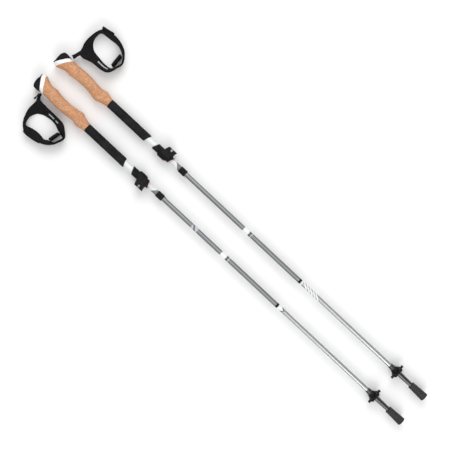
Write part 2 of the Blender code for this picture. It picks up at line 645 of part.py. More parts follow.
def foam_sleeve():
    """The foam below the cork, with a slanted lower end."""
    top = CORK_BOTTOM - GAP
    low = FOAM_BOTTOM - FOAM_RADIUS
    blank = turned([(low, 0.0), (low, FOAM_RADIUS), (top, FOAM_RADIUS), (top, 0.0)])
    blank = sliced(blank, (-FOAM_BOTTOM, 0, 0), (1.0, -FOAM_SLANT, 0))
    bore = UPPER_RADIUS + GAP
    return cut(blank, turned([(low - GAP, 0.0), (low - GAP, bore), (top + GAP, bore),
                              (top + GAP, 0.0)]))


def grip_blank():
    """The whole handle's outer form, from which the cork and the head cap are cut."""
    rings = []
    for distance, back, front, half in GRIP_SECTIONS:
        ring = []
        for i in range(GRIP_SIDES):
            angle = math.tau * i / GRIP_SIDES
            c, s = math.cos(angle), math.sin(angle)
            across = math.copysign(abs(c) ** (2 / GRIP_ROUNDNESS), c)
            upward = math.copysign(abs(s) ** (2 / GRIP_ROUNDNESS), s)
            ring.append((-CORK_BOTTOM - distance, across * (back if c > 0 else front),
                         upward * half))
        rings.append(ring)
    return lofted(rings)


def cork_grip():
    blank = sliced(grip_blank(), (-CORK_TOP, 0, 0), (-1.0, CORK_TOP_SLOPE, 0))
    depth = UPPER_TOP + GAP
    bore = turned([(CORK_BOTTOM - 0.01, 0.0), (CORK_BOTTOM - 0.01, UPPER_RADIUS + GAP),
                   (depth, UPPER_RADIUS + GAP), (depth, 0.0)])
    return cut(blank, bore)


def cap_floor_station(out):
    """Station of the strap slot's floor in the head cap, at a distance out from the axis."""
    return CORK_TOP + GAP + CAP_FLOOR - CORK_TOP_SLOPE * out


def head_cap():
    """The moulded cap between the cork and the wedge, with the slot for the webbing."""
    blank = sliced(grip_blank(), (-CORK_TOP - GAP, 0, 0), (1.0, -CORK_TOP_SLOPE, 0))
    blank = sliced(blank, (-CAP_TOP, 0, 0), (-1.0, CAP_TOP_SLOPE, 0))
    far = 0.04
    floor = [(-cap_floor_station(out), out) for out in (STRAP_SLOT_FRONT, far)]
    roof = [(-HANDLE_TOP - 0.02, out) for out in (far, STRAP_SLOT_FRONT)]
    slot = extruded([(x, y, -STRAP_SLOT_HALF) for x, y in floor + roof],
                    (0, 0, 2 * STRAP_SLOT_HALF))
    return cut(blank, slot, strap_pin_bar(STRAP_PIN_RADIUS + GAP, 0.030))


def strap_pin_bar(radius, length):
    return cylinder((-HANDLE_TOP + STRAP_PIN_DROP, STRAP_PIN_BACK, 0), (0, 0, 1), radius, length)


def strap_pin():
    """The pin in the head that the webbing loops round."""
    return strap_pin_bar(STRAP_PIN_RADIUS, 0.024)


def strap_wedge():
    """The wedge on the head: its thick end is at the back, over the webbing."""
    def underside(out):
        return CAP_TOP + GAP - CAP_TOP_SLOPE * out

    outline = [(underside(-0.0204), -0.0204), (underside(0.0123), 0.0123),
               (HANDLE_TOP - 0.0150, 0.0152), (HANDLE_TOP - 0.0110, 0.0162),
               (HANDLE_TOP - 0.0070, 0.0155), (HANDLE_TOP - 0.0038, 0.0130),
               (HANDLE_TOP - 0.0015, 0.0085), (HANDLE_TOP - 0.0003, 0.0035),
               (HANDLE_TOP, -0.0020), (HANDLE_TOP - 0.0003, -0.0080),
               (HANDLE_TOP - 0.0013, -0.0140), (HANDLE_TOP - 0.0030, -0.0190)]
    body = extruded([(-station, out, -WEDGE_HALF_WIDTH) for station, out in outline],
                    (0, 0, 2 * WEDGE_HALF_WIDTH))
    back = 0.0030
    tongue_half = STRAP_SLOT_HALF - GAP
    tongue = block((-HANDLE_TOP + 0.004, STRAP_SLOT_FRONT + GAP, -tongue_half),
                   (-CAP_TOP + WEDGE_TONGUE, back, tongue_half))
    return joined(body, tongue)


# Hand strap.

def smooth_path(points, closed, steps):
    """Points on a smooth curve through rows of numbers (Catmull-Rom)."""
    rows = [Vector(row) for row in points]
    count = len(rows)
    result = []
    for i in range(count if closed else count - 1):
        if closed:
            a, b, c, d = (rows[(i + k) % count] for k in (-1, 0, 1, 2))
        else:
            a, b, c, d = (rows[min(max(i + k, 0), count - 1)] for k in (-1, 0, 1, 2))
        for step in range(steps):
            t = step / steps
            result.append(0.5 * (2 * b + (c - a) * t + (2 * a - 5 * b + 4 * c - d) * t * t
                                 + (3 * b - a - 3 * c + d) * t ** 3))
    if not closed:
        result.append(rows[-1])
    return result


def band_edges(row):
    """The band's upper and lower edge points at one row of a loop."""
    upper_drop, upper_out, lower_drop, lower_out = row
    lean_out = math.hypot(upper_drop - lower_drop, upper_out - lower_out)
    top = math.sqrt(max(BAND_WIDTH ** 2 - lean_out ** 2, BAND_LOW_TOP ** 2))
    return (Vector((upper_drop - HANDLE_TOP, upper_out, top - AXIS_HEIGHT)),
            Vector((lower_drop - HANDLE_TOP, lower_out, -AXIS_HEIGHT)))


def loop_frames(loop):
    """Centre, half-width, width way, thickness way and run of the band, all round a loop.

    The width way points to the upper edge, and the thickness way to the band's inner face.
    """
    edges = [band_edges(row) for row in smooth_path(loop, True, LOOP_STEPS)]
    centres = [(upper + lower) / 2 for upper, lower in edges]
    frames = []
    for i, (upper, lower) in enumerate(edges):
        width_way = (upper - lower).normalized()
        run = (centres[(i + 1) % len(edges)] - centres[i - 1]).normalized()
        run = (run - width_way * run.dot(width_way)).normalized()
        frames.append((centres[i], (upper - lower).length / 2, width_way,
                       width_way.cross(run), run))
    return frames


def hand_strap(loop):
    """The padded band: thick along its middle and thin at both edges."""
    thick = BAND_THICKNESS / 2
    rings = []
    for centre, wide, width_way, thick_way, _ in loop_frames(loop):
        flat = wide * BAND_FLAT
        section = [(-wide, 0), (-flat, -thick), (flat, -thick), (wide, 0), (flat, thick),
                   (-flat, thick)]
        rings.append([centre + width_way * w + thick_way * t for w, t in section])
    return lofted(rings, closed=True)


def strap_pad(loop, sections):
    """The padded tongue that crosses the loop's bend on edge, with a rounded end at each side."""
    frames = loop_frames(loop)
    radius = PAD_THICKNESS / 2
    ends = []
    for centre, wide, width_way, thick_way, _ in (frames[index] for index in sections):
        face = centre - width_way * wide * BAND_FLAT + thick_way * BAND_THICKNESS / 2
        ends.append(face.xy + thick_way.xy.normalized() * (radius + PAD_CLEARANCE))
    run = (ends[1] - ends[0]).normalized()
    side = Vector((-run.y, run.x))
    outline = []
    for end, way in ((ends[1], 1), (ends[0], -1)):
        for step in range(PAD_END_STEPS + 1):
            turn = math.pi * (step / PAD_END_STEPS - 0.5)
            spot = end + way * radius * (run * math.cos(turn) + side * math.sin(turn))
            outline.append((spot.x, spot.y, -AXIS_HEIGHT))
    return extruded(outline, (0, 0, PAD_HEIGHT))


def webbing_end(loop):
    """Where the webbing's rounded end meets the band's upper edge at the loop's first row."""
    centre, wide, width_way, _, _ = loop_frames(loop)[0]
    outward = Vector((width_way.x, width_way.y, 0)).normalized()
    return centre + width_way * wide + outward * (WEBBING_THICKNESS / 2 + GAP)


def strap_webbing(path, loop):
    """The flat webbing from the pin in the head out to the hand strap, standing on edge."""
    start = (STRAP_PIN_DROP, STRAP_PIN_BACK + STRAP_PIN_RADIUS + GAP)
    end = webbing_end(loop)
    points = smooth_path([start, *path, (end.x + HANDLE_TOP, end.y)], False, 3)
    thicknesses = [WEBBING_THICKNESS / 2] * len(points)
    run = (points[-1] - points[-2]).normalized()
    for angle in (30.0, 60.0):
        tilt = math.radians(angle)
        points.append(Vector((end.x + HANDLE_TOP, end.y))
                      + run * WEBBING_THICKNESS / 2 * math.sin(tilt))
        thicknesses.append(WEBBING_THICKNESS / 2 * math.cos(tilt))
    half = WEBBING_WIDTH / 2
    rings = []
    for i, point in enumerate(points):
        run = (points[min(i + 1, len(points) - 1)] - points[max(i - 1, 0)]).normalized()
        side = Vector((-run.y, run.x)) * thicknesses[i]
        corners = [(side, half), (side, -half), (-side, -half), (-side, half)]
        rings.append([(point.x + shift.x - HANDLE_TOP, point.y + shift.y, z)
                      for shift, z in corners])
    return lofted(rings)


# Assembly.

def on_axis(station):
    return (-station, 0.0, 0.0)


def pole_pieces(loop, pad_sections, webbing):
    """Each piece of a pole: name, mesh, origin and material."""
    lever_axis = (-BOLT_STATION_ON_POLE, BOLT_OUT, LEVER_AXIS_HEIGHT)
    bolt_axis = (-BOLT_STATION_ON_POLE, BOLT_OUT, 0.0)
    pin_axis = (-HANDLE_TOP + STRAP_PIN_DROP, STRAP_PIN_BACK, 0.0)
    swing_axis = (*webbing_end(loop).xy, 0.0)
    button_axis = (-BUTTON_STATION, 0.0, 0.0)
    return [
        ("rubber_foot", rubber_foot(), on_axis(0.0), "rubber"),
        ("carbide_tip", carbide_tip(), on_axis(0.0), "carbide"),
        ("flex_tip", flex_tip(), on_axis(FOOT_LENGTH), "black_plastic"),
        ("basket", basket(), on_axis(BASKET_BOTTOM), "black_plastic"),
        ("lower_shaft", lower_shaft(), on_axis(TIP_TOP), "silver_aluminium"),
        ("cable_anchor", cable_anchor(), on_axis(LOWER_TOP - ANCHOR_DEPTH), "black_plastic"),
        ("tension_cable", tension_cable(), on_axis(LOWER_TOP), "coated_cable"),
        ("joint_ring", joint_ring(), on_axis(LOWER_TOP), "black_plastic"),
        ("lower_spigot", lower_spigot(), on_axis(LOWER_TOP), "silver_aluminium"),
        ("middle_shaft", middle_shaft(), on_axis(MIDDLE_BOTTOM), "grey_aluminium"),
        ("tension_tube", tension_tube(), on_axis(MIDDLE_TOP), "grey_aluminium"),
        ("lock_button", lock_button(), button_axis, "steel"),
        ("button_spring", button_spring(), button_axis, "steel"),
        ("lock_ferrule", lock_ferrule(), on_axis(FERRULE_BOTTOM), "black_plastic"),
        ("adjust_tube", adjust_tube(), on_axis(FERRULE_TOP), "white_lacquer"),
        ("guide_bush", guide_bush(), on_axis(ADJUST_TOP), "black_plastic"),
        ("clamp_collar", clamp_collar(), on_axis(CLAMP_BOTTOM), "black_plastic"),
        ("clamp_lever", clamp_lever(), lever_axis, "black_plastic"),
        ("lever_pin", lever_pin(), lever_axis, "steel"),
        ("clamp_bolt", clamp_bolt(), bolt_axis, "steel"),
        ("thumb_nut", thumb_nut(), bolt_axis, "black_plastic"),
        ("upper_tube", upper_tube(), on_axis(CLAMP_TOP), "white_lacquer"),
        ("foam_sleeve", foam_sleeve(), on_axis(FOAM_BOTTOM), "foam"),
        ("cork_grip", cork_grip(), on_axis(CORK_BOTTOM), "cork"),
        ("head_cap", head_cap(), on_axis(CORK_TOP), "white_plastic"),
        ("strap_wedge", strap_wedge(), on_axis(CAP_TOP), "black_plastic"),
        ("strap_pin", strap_pin(), pin_axis, "steel"),
        ("strap_webbing", strap_webbing(webbing, loop), pin_axis, "black_webbing"),
        ("hand_strap", hand_strap(loop), swing_axis, "black_webbing"),
        ("strap_pad", strap_pad(loop, pad_sections), swing_axis, "black_webbing"),
    ]


def place_pole(prefix, side, pieces, materials):
    """Put one pole's pieces under an empty on its axis; side is -1 for the mirrored pole."""
    pole = bpy.data.objects.new(prefix + "_pole", None)
    bpy.context.scene.collection.objects.link(pole)
    pole.location = (HANDLE_TOP / 2, side * POLE_SPACING / 2, AXIS_HEIGHT)
    for name, mesh, origin, finish in pieces:
        mesh.name = prefix + "_" + name
        mesh.transform(Matrix.Translation(-Vector(origin)))
        if side < 0:
            mesh.transform(Matrix.Scale(-1.0, 4, (0, 1, 0)))
            mesh.flip_normals()
        mesh.materials.clear()
        mesh.materials.append(materials[finish])
        mesh.shade_smooth()
        mesh.set_sharp_from_angle(angle=SHARP_ANGLE)
        piece = bpy.data.objects.new(mesh.name, mesh)
        piece.location = (origin[0], side * origin[1], origin[2])
        piece.parent = pole
        bpy.context.scene.collection.objects.link(piece)
    return pole


def centre_on_origin(poles):
    """Move both poles so that the pair's box is centred on the origin."""
    bpy.context.view_layer.update()
    pieces = [piece for pole in poles for piece in pole.children]
    points = [piece.matrix_world @ vertex.co for piece in pieces for vertex in piece.data.vertices]
    for axis in (0, 1):
        middle = (min(p[axis] for p in points) + max(p[axis] for p in points)) / 2
        for pole in poles:
            pole.location[axis] -= middle


def main():
    clear_scene()
    materials = {name: make_material(name) for name in MATERIALS}
    poles = [
        place_pole("left", -1, pole_pieces(LEFT_LOOP, LEFT_PAD, LEFT_WEBBING),
                   materials),
        place_pole("right", 1, pole_pieces(RIGHT_LOOP, RIGHT_PAD, RIGHT_WEBBING),
                   materials),
    ]
    centre_on_origin(poles)
    bpy.context.view_layer.update()


main()
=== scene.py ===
"""Looks of a pair of folding trekking poles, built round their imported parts.

Every piece is made in its pole's own frame: x runs along the shaft toward the foot, the second
number is a distance out from the shaft's axis toward the hand strap, and the third a height
over that axis.
"""

import math

import bmesh
import bpy
from bpy.props import FloatProperty, FloatVectorProperty, IntProperty, PointerProperty
from mathutils import Matrix, Vector


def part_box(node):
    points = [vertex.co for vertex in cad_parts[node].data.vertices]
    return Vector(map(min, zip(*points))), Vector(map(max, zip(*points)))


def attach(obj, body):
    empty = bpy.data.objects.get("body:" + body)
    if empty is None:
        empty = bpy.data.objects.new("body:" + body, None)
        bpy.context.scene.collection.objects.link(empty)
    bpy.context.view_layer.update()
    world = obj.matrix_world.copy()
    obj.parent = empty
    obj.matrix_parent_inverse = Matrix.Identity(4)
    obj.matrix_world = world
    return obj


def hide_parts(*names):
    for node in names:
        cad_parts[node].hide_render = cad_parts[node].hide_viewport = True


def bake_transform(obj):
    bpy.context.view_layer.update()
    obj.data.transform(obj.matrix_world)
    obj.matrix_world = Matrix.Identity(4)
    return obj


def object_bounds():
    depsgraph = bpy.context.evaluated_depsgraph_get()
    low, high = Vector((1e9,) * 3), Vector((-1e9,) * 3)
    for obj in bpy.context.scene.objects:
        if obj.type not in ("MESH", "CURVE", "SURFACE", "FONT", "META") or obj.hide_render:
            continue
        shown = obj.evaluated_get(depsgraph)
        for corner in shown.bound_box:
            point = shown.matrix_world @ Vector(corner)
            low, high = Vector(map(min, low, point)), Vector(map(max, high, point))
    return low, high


bl_info = {
    "name": "Trekking poles",
    "version": (1, 0, 0),
    "blender": (4, 5, 0),
    "location": "3D View > Sidebar > Poles",
    "description": "Builds the visible pieces of a pair of trekking poles",
    "category": "Object",
}

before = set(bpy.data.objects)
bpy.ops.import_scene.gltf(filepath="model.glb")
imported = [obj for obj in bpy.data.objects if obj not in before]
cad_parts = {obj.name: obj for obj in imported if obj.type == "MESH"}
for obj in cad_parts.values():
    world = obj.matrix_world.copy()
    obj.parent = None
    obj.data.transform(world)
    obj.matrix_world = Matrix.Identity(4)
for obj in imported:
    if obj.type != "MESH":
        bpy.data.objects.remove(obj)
CAD_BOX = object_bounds()

MM = 0.001
SIDES = {"left": -1, "right": 1}
HANDLE_TOP = min(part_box(side + "_strap_wedge")[0].x for side in SIDES)
TURN_STEPS = 72
GAP = 0.3 * MM               # clearance between pieces that fit into one another

# Handle: rows of distance above the cork's lower end, half-widths behind and in front of the
# axis, and half the thickness across the hand, all in metres.
GRIP_SECTIONS = [
    (0.0000, 0.0110, 0.0108, 0.0110), (0.0115, 0.0130, 0.0130, 0.0125),
    (0.0210, 0.0154, 0.0156, 0.0142), (0.0290, 0.0140, 0.0190, 0.0146),
    (0.0360, 0.0122, 0.0186, 0.0141), (0.0460, 0.0125, 0.0166, 0.0133),
    (0.0600, 0.0139, 0.0147, 0.0131), (0.0740, 0.0153, 0.0136, 0.0135),
    (0.0980, 0.0154, 0.0147, 0.0141), (0.1140, 0.0143, 0.0173, 0.0150),
    (0.1265, 0.0138, 0.0160, 0.0166), (0.1360, 0.0142, 0.0174, 0.0174),
    (0.1460, 0.0147, 0.0214, 0.0174), (0.1530, 0.0150, 0.0242, 0.0170),
    (0.1600, 0.0148, 0.0238, 0.0160), (0.1650, 0.0140, 0.0205, 0.0140),
]
CORK_TOP_DROP, CORK_TOP_SLOPE = 0.0258, 0.65
CAP_TOP_DROP, CAP_TOP_SLOPE = 0.0148, 0.70
SLOT_HALF_WIDTH = 8.6 * MM   # half the width of the cap's slot for the webbing

# Wedge's crown from its outer side to its inner end: distances below the handle's top and out.
WEDGE_CROWN = [
    (0.0190, 0.0158), (0.0150, 0.0163), (0.0110, 0.0162), (0.0070, 0.0155), (0.0038, 0.0130),
    (0.0015, 0.0085), (0.0003, 0.0035), (0.0, -0.0020), (0.0003, -0.0080), (0.0013, -0.0140),
    (0.0030, -0.0190),
]

# Hand strap: rows of the band's upper edge and its lower edge, each a distance below the
# handle's top and a distance out from the axis.
LOOPS = {
    "left": [
        (0.0320, 0.0290, 0.0535, 0.0563), (0.0460, 0.0295, 0.0632, 0.0511),
        (0.0660, 0.0303, 0.0740, 0.0478), (0.0850, 0.0303, 0.0866, 0.0464),
        (0.1023, 0.0309, 0.0998, 0.0478), (0.1184, 0.0332, 0.1114, 0.0521),
        (0.1340, 0.0440, 0.1250, 0.0560), (0.1430, 0.0531, 0.1352, 0.0585),
        (0.1436, 0.0627, 0.1350, 0.0641), (0.1397, 0.0728, 0.1318, 0.0732),
        (0.1349, 0.0833, 0.1262, 0.0832), (0.1263, 0.0939, 0.1146, 0.0869),
        (0.1147, 0.1011, 0.1045, 0.0929), (0.1020, 0.1069, 0.0935, 0.0911),
        (0.0872, 0.1110, 0.0817, 0.0904), (0.0735, 0.1123, 0.0674, 0.0924),
        (0.0629, 0.1099, 0.0552, 0.0964), (0.0537, 0.1027, 0.0475, 0.0971),
        (0.0441, 0.0910, 0.0436, 0.0908), (0.0385, 0.0785, 0.0415, 0.0784),
        (0.0335, 0.0640, 0.0445, 0.0685), (0.0318, 0.0497, 0.0484, 0.0616),
        (0.0305, 0.0370, 0.0510, 0.0586),
    ],
    "right": [
        (0.0290, 0.0372, 0.0390, 0.0722), (0.0425, 0.0345, 0.0466, 0.0671),
        (0.0550, 0.0385, 0.0545, 0.0648), (0.0695, 0.0420, 0.0660, 0.0629),
        (0.0853, 0.0430, 0.0796, 0.0610), (0.0975, 0.0443, 0.0903, 0.0607),
        (0.1074, 0.0475, 0.0990, 0.0614), (0.1143, 0.0535, 0.1055, 0.0631),
        (0.1182, 0.0625, 0.1098, 0.0675), (0.1205, 0.0722, 0.1124, 0.0748),
        (0.1235, 0.0811, 0.1153, 0.0835), (0.1240, 0.0885, 0.1165, 0.0890),
        (0.1210, 0.0960, 0.1142, 0.0955), (0.1149, 0.1047, 0.1078, 0.1035),
        (0.1065, 0.1137, 0.0965, 0.1104), (0.0950, 0.1202, 0.0850, 0.1150),
        (0.0805, 0.1245, 0.0740, 0.1158), (0.0651, 0.1262, 0.0601, 0.1143),
        (0.0508, 0.1240, 0.0454, 0.1130), (0.0380, 0.1190, 0.0345, 0.1118),
        (0.0306, 0.1110, 0.0285, 0.1075), (0.0263, 0.0990, 0.0270, 0.0985),
        (0.0242, 0.0860, 0.0280, 0.0883), (0.0228, 0.0720, 0.0312, 0.0809),
        (0.0238, 0.0550, 0.0350, 0.0761),
    ],
}
BAND_WIDTH = 0.030
BAND_LOW_TOP = 0.016
LOOP_STEPS = 12


# Frame of one pole.

def pole_frame(side):
    """Matrix from a pole's own frame to the row's."""
    low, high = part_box(side + "_lower_shaft")
    centre = (low + high) / 2
    mirror = Matrix.Diagonal((1, SIDES[side], 1, 1))
    return Matrix.Translation((0, centre.y, centre.z)) @ mirror


def ends(side, node):
    """Where a node starts and stops along the shaft."""
    low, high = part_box(f"{side}_{node}")
    return low.x, high.x


def reach(side, node):
    """Half the height of a round node."""
    low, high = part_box(f"{side}_{node}")
    return (high.z - low.z) / 2


def bolt_place(side):
    """The clamp bolt's x, its distance out and the height of its cross pin."""
    low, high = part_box(side + "_clamp_bolt")
    pin_low, pin_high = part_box(side + "_lever_pin")
    local = pole_frame(side).inverted()
    bolt = local @ ((low + high) / 2)
    pin = local @ ((pin_low + pin_high) / 2)
    return bolt.x, bolt.y, pin.z


# Shape tools: each one gives a bmesh in the pole's own frame.

def bridge(shape, here, there):
    """Faces between two rings, either of which may be a single point."""
    count = max(len(here), len(there))
    for i in range(count):
        j = (i + 1) % count
        if len(here) == 1:
            shape.faces.new((here[0], there[j], there[i]))
        elif len(there) == 1:
            shape.faces.new((here[i], here[j], there[0]))
        else:
            shape.faces.new((here[i], here[j], there[j], there[i]))


def turned(profile, steps=TURN_STEPS, surface=None):
    """A piece turned about the shaft from (x, radius) points.

    The profile either starts and ends on the axis or is closed on itself. A surface function
    gives each point's new radius from its x, radius and angle.
    """
    shape = bmesh.new()
    rings = []
    for x, radius in profile:
        if radius <= 0:
            rings.append([shape.verts.new((x, 0, 0))])
            continue
        ring = []
        for i in range(steps):
            angle = math.tau * i / steps
            r = surface(x, radius, angle) if surface else radius
            ring.append(shape.verts.new((x, r * math.cos(angle), r * math.sin(angle))))
        rings.append(ring)
    for here, there in zip(rings, rings[1:]):
        bridge(shape, here, there)
    if profile[0][1] > 0:
        bridge(shape, rings[-1], rings[0])
    return shape


def lofted(rings, closed=False):
    """A skin through rings of points, with flat ends or closed on itself."""
    shape = bmesh.new()
    loops = [[shape.verts.new(point) for point in ring] for ring in rings]
    for here, there in zip(loops, loops[1:]):
        bridge(shape, here, there)
    if closed:
        bridge(shape, loops[-1], loops[0])
    else:
        shape.faces.new(loops[0])
        shape.faces.new(loops[-1])
    return shape


def cylinder(centre, direction, radius, length, steps=48):
    """A round bar about a centre, along any direction."""
    turn = Vector((0, 0, 1)).rotation_difference(Vector(direction)).to_matrix().to_4x4()
    shape = bmesh.new()
    bmesh.ops.create_cone(shape, cap_ends=True, segments=steps, radius1=radius, radius2=radius,
                          depth=length, matrix=Matrix.Translation(centre) @ turn)
    return shape


def block(low, high):
    """A box between two corners."""
    low, high = Vector(low), Vector(high)
    size = Matrix.Diagonal((*(high - low), 1.0))
    shape = bmesh.new()
    bmesh.ops.create_cube(shape, size=1.0, matrix=Matrix.Translation((low + high) / 2) @ size)
    return shape


def extruded(outline, direction):
    """A prism: an outline of points, pushed along a vector."""
    first = [Vector(point) for point in outline]
    return lofted([first, [point + Vector(direction) for point in first]])


def sliced(shape, point, normal):
    """Cut away what lies in front of a plane and close the cut."""
    everything = shape.verts[:] + shape.edges[:] + shape.faces[:]
    cut = bmesh.ops.bisect_plane(shape, geom=everything, plane_co=point, plane_no=normal,
                                 clear_outer=True)
    rim = [item for item in cut["geom_cut"] if isinstance(item, bmesh.types.BMEdge)]
    bmesh.ops.edgeloop_fill(shape, edges=rim)
    return shape


def combined(base, tools, operation):
    """A shape joined to other shapes, or cut by them, in turn."""
    helpers = []
    for shape in [base, *tools]:
        bmesh.ops.recalc_face_normals(shape, faces=shape.faces)
        mesh = bpy.data.meshes.new("helper")
        shape.to_mesh(mesh)
        shape.free()
        helpers.append(bpy.data.objects.new("helper", mesh))
        bpy.context.scene.collection.objects.link(helpers[-1])
    for helper in helpers[1:]:
        modifier = helpers[0].modifiers.new("combine", "BOOLEAN")
        modifier.operation = operation
        modifier.solver = "EXACT"
        modifier.object = helper
    result = bmesh.new()
    result.from_object(helpers[0], bpy.context.evaluated_depsgraph_get())
    for helper in helpers:
        bpy.data.objects.remove(helper, do_unlink=True)
    return result


def smooth_path(rows, closed, steps):
    """Rows of numbers on a smooth curve through the given rows (Catmull-Rom)."""
    rows = [Vector(row) for row in rows]
    count = len(rows)
    result = []
    for i in range(count if closed else count - 1):
        if closed:
            a, b, c, d = (rows[(i + k) % count] for k in (-1, 0, 1, 2))
        else:
            a, b, c, d = (rows[min(max(i + k, 0), count - 1)] for k in (-1, 0, 1, 2))
        for step in range(steps):
            t = step / steps
            result.append(0.5 * (2 * b + (c - a) * t + (2 * a - 5 * b + 4 * c - d) * t * t
                                 + (3 * b - a - 3 * c + d) * t ** 3))
    if not closed:
        result.append(rows[-1])
    return result


def arc(centre, radius, first, last, count):
    """Points on an arc, at angles in degrees from outward toward up."""
    angles = [math.radians(first + (last - first) * i / (count - 1)) for i in range(count)]
    return [(centre[0] + radius * math.cos(a), centre[1] + radius * math.sin(a)) for a in angles]


def add_piece(name, shape, side, body, slot, replaced=(), look=None, bevel=0.0, sharp=40.0):
    """Turn a shape into an object that rides on a body, with its finish and its soft edges.

    The look is a material or the name of a finish. Without one, the slot's name is used.
    """
    mesh = bpy.data.meshes.new(name)
    shape.transform(pole_frame(side))
    bmesh.ops.recalc_face_normals(shape, faces=shape.faces)
    shape.to_mesh(mesh)
    shape.free()
    mesh.shade_smooth()
    mesh.materials.append(look if isinstance(look, bpy.types.Material) else finish(look or slot))
    piece = bpy.data.objects.new(f"{side}_{name}", mesh)
    bpy.context.scene.collection.objects.link(piece)
    if bevel:
        soften = piece.modifiers.new("soft_edges", "BEVEL")
        soften.width = bevel
        soften.segments = 3
        soften.limit_method = "ANGLE"
        soften.angle_limit = math.radians(sharp)
        soften.harden_normals = True
    else:
        mesh.set_sharp_from_angle(angle=math.radians(sharp))
    if body:
        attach(piece, f"{side}_{body}" if body != "handles" else body)
    if replaced:
        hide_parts(*[f"{side}_{node}" for node in replaced])
    return piece


# Materials.

def new_finish(name):
    """An empty node material with its shader."""
    material = bpy.data.materials.new(name)
    material.use_nodes = True
    return material, material.node_tree.nodes["Principled BSDF"]


def add_node(material, kind, inputs=None, **settings):
    """Add a shader node. Inputs may be values or other nodes' output sockets."""
    node = material.node_tree.nodes.new(kind)
    for key, value in settings.items():
        setattr(node, key, value)
    for key, value in (inputs or {}).items():
        if isinstance(value, bpy.types.NodeSocket):
            material.node_tree.links.new(value, node.inputs[key])
        else:
            node.inputs[key].default_value = value
    return node


def place(material, stretch=(1, 1, 1)):
    """Object coordinates, which are the row's own metres, stretched along the axes."""
    source = add_node(material, "ShaderNodeTexCoord")
    return add_node(material, "ShaderNodeMapping",
                    {"Vector": source.outputs["Object"], "Scale": stretch}).outputs["Vector"]


def grain(material, scale, detail=3.0, rough=0.55, vector=None):
    """Noise at a scale in cells per metre."""
    return add_node(material, "ShaderNodeTexNoise", {
        "Vector": vector or place(material), "Scale": scale, "Detail": detail,
        "Roughness": rough})


def mixed(material, factor, first, second):
    """A colour between two colours."""
    node = add_node(material, "ShaderNodeMix", data_type="RGBA")
    for socket, value in ((node.inputs["Factor"], factor), (node.inputs["A"], first),
                          (node.inputs["B"], second)):
        if isinstance(value, bpy.types.NodeSocket):
            material.node_tree.links.new(value, socket)
        else:
            socket.default_value = value
    return node.outputs["Result"]


def ramp(material, factor, stops):
    """A colour ramp with (position, colour) stops."""
    node = add_node(material, "ShaderNodeValToRGB", {"Fac": factor})
    elements = node.color_ramp.elements
    while len(elements) < len(stops):
        elements.new(1.0)
    for element, (position, colour) in zip(elements, stops):
        element.position = position
        element.color = colour if len(colour) == 4 else (*colour, 1.0)
    return node.outputs["Color"]


def spread(material, factor, low, high, near=0.3, far=0.7):
    """A number that runs from low to high as the factor runs from near to far."""
    return add_node(material, "ShaderNodeMapRange", {
        "Value": factor, "From Min": near, "From Max": far, "To Min": low,
        "To Max": high}).outputs["Result"]


def maths(material, operation, first, second=0.0):
    """One step of arithmetic on two numbers or sockets."""
    return add_node(material, "ShaderNodeMath", {0: first, 1: second},
                    operation=operation).outputs[0]


def bumped(material, shader, height, distance, strength=1.0, below=None):
    """Drive the shader's normal from a height in units of distance."""
    inputs = {"Height": height, "Distance": distance, "Strength": strength}
    if below:
        inputs["Normal"] = below
    node = add_node(material, "ShaderNodeBump", inputs)
    material.node_tree.links.new(node.outputs["Normal"], shader.inputs["Normal"])
    return node.outputs["Normal"]


def wired(material, output, shader, socket):
    """Lead an output into one of the shader's sockets."""
    material.node_tree.links.new(output, shader.inputs[socket])


def shade(colour, factor):
    """A colour made lighter or darker."""
    return tuple(min(1.0, part * factor) for part in colour[:3]) + (1.0,)


def cork_finish(colours):
    """Pressed cork: grains of many tans between dark seams, with pits and dark bark specks."""
    material, shader = new_finish("pressed_cork")
    base = colours.cork
    bent = grain(material, 260.0, 2.0)
    nudge = add_node(material, "ShaderNodeVectorMath",
                     {0: bent.outputs["Color"], "Scale": 0.0012}, operation="SCALE")
    where = add_node(material, "ShaderNodeVectorMath",
                     {0: place(material), 1: nudge.outputs["Vector"]}, operation="ADD")
    spot = where.outputs["Vector"]
    grains, flecks = 420.0, 170.0        # cells for each metre
    cells = add_node(material, "ShaderNodeTexVoronoi", {"Vector": spot, "Scale": grains})
    tone = add_node(material, "ShaderNodeSeparateColor", {"Color": cells.outputs["Color"]})
    body = ramp(material, tone.outputs[0], [
        (0.0, shade(base, 0.70)), (0.25, shade(base, 0.92)), (0.6, shade(base, 1.06)),
        (1.0, shade(base, 1.25))])
    seams = add_node(material, "ShaderNodeTexVoronoi", {"Vector": spot, "Scale": grains},
                     feature="DISTANCE_TO_EDGE")
    seam = spread(material, seams.outputs["Distance"], 1.0, 0.0, 0.0, 0.07)
    body = mixed(material, maths(material, "MULTIPLY", seam, 0.45), body, shade(base, 0.45))
    bark = add_node(material, "ShaderNodeTexVoronoi", {"Vector": spot, "Scale": flecks})
    speck = spread(material, bark.outputs["Distance"], 1.0, 0.0, 0.10, 0.20)
    body = mixed(material, maths(material, "MULTIPLY", speck, 0.75), body, shade(base, 0.30))
    cloud = grain(material, 110.0, 5.0, 0.65)
    warm = (base[0] * 0.92, base[1] * 0.66, base[2] * 0.42, 1.0)
    body = mixed(material, spread(material, cloud.outputs["Fac"], 0.0, 0.75, 0.42, 0.72),
                 body, warm)
    wired(material, body, shader, "Base Color")
    fine = grain(material, 1500.0, 4.0)
    wired(material, spread(material, fine.outputs["Fac"], 0.72, 0.92), shader, "Roughness")
    pits = maths(material, "MULTIPLY", maths(material, "MAXIMUM", seam, speck), -1.0)
    relief = bumped(material, shader, fine.outputs["Fac"], 0.12 * MM)
    bumped(material, shader, pits, 0.25 * MM, below=relief)
    shader.inputs["Specular IOR Level"].default_value = 0.25
    return material


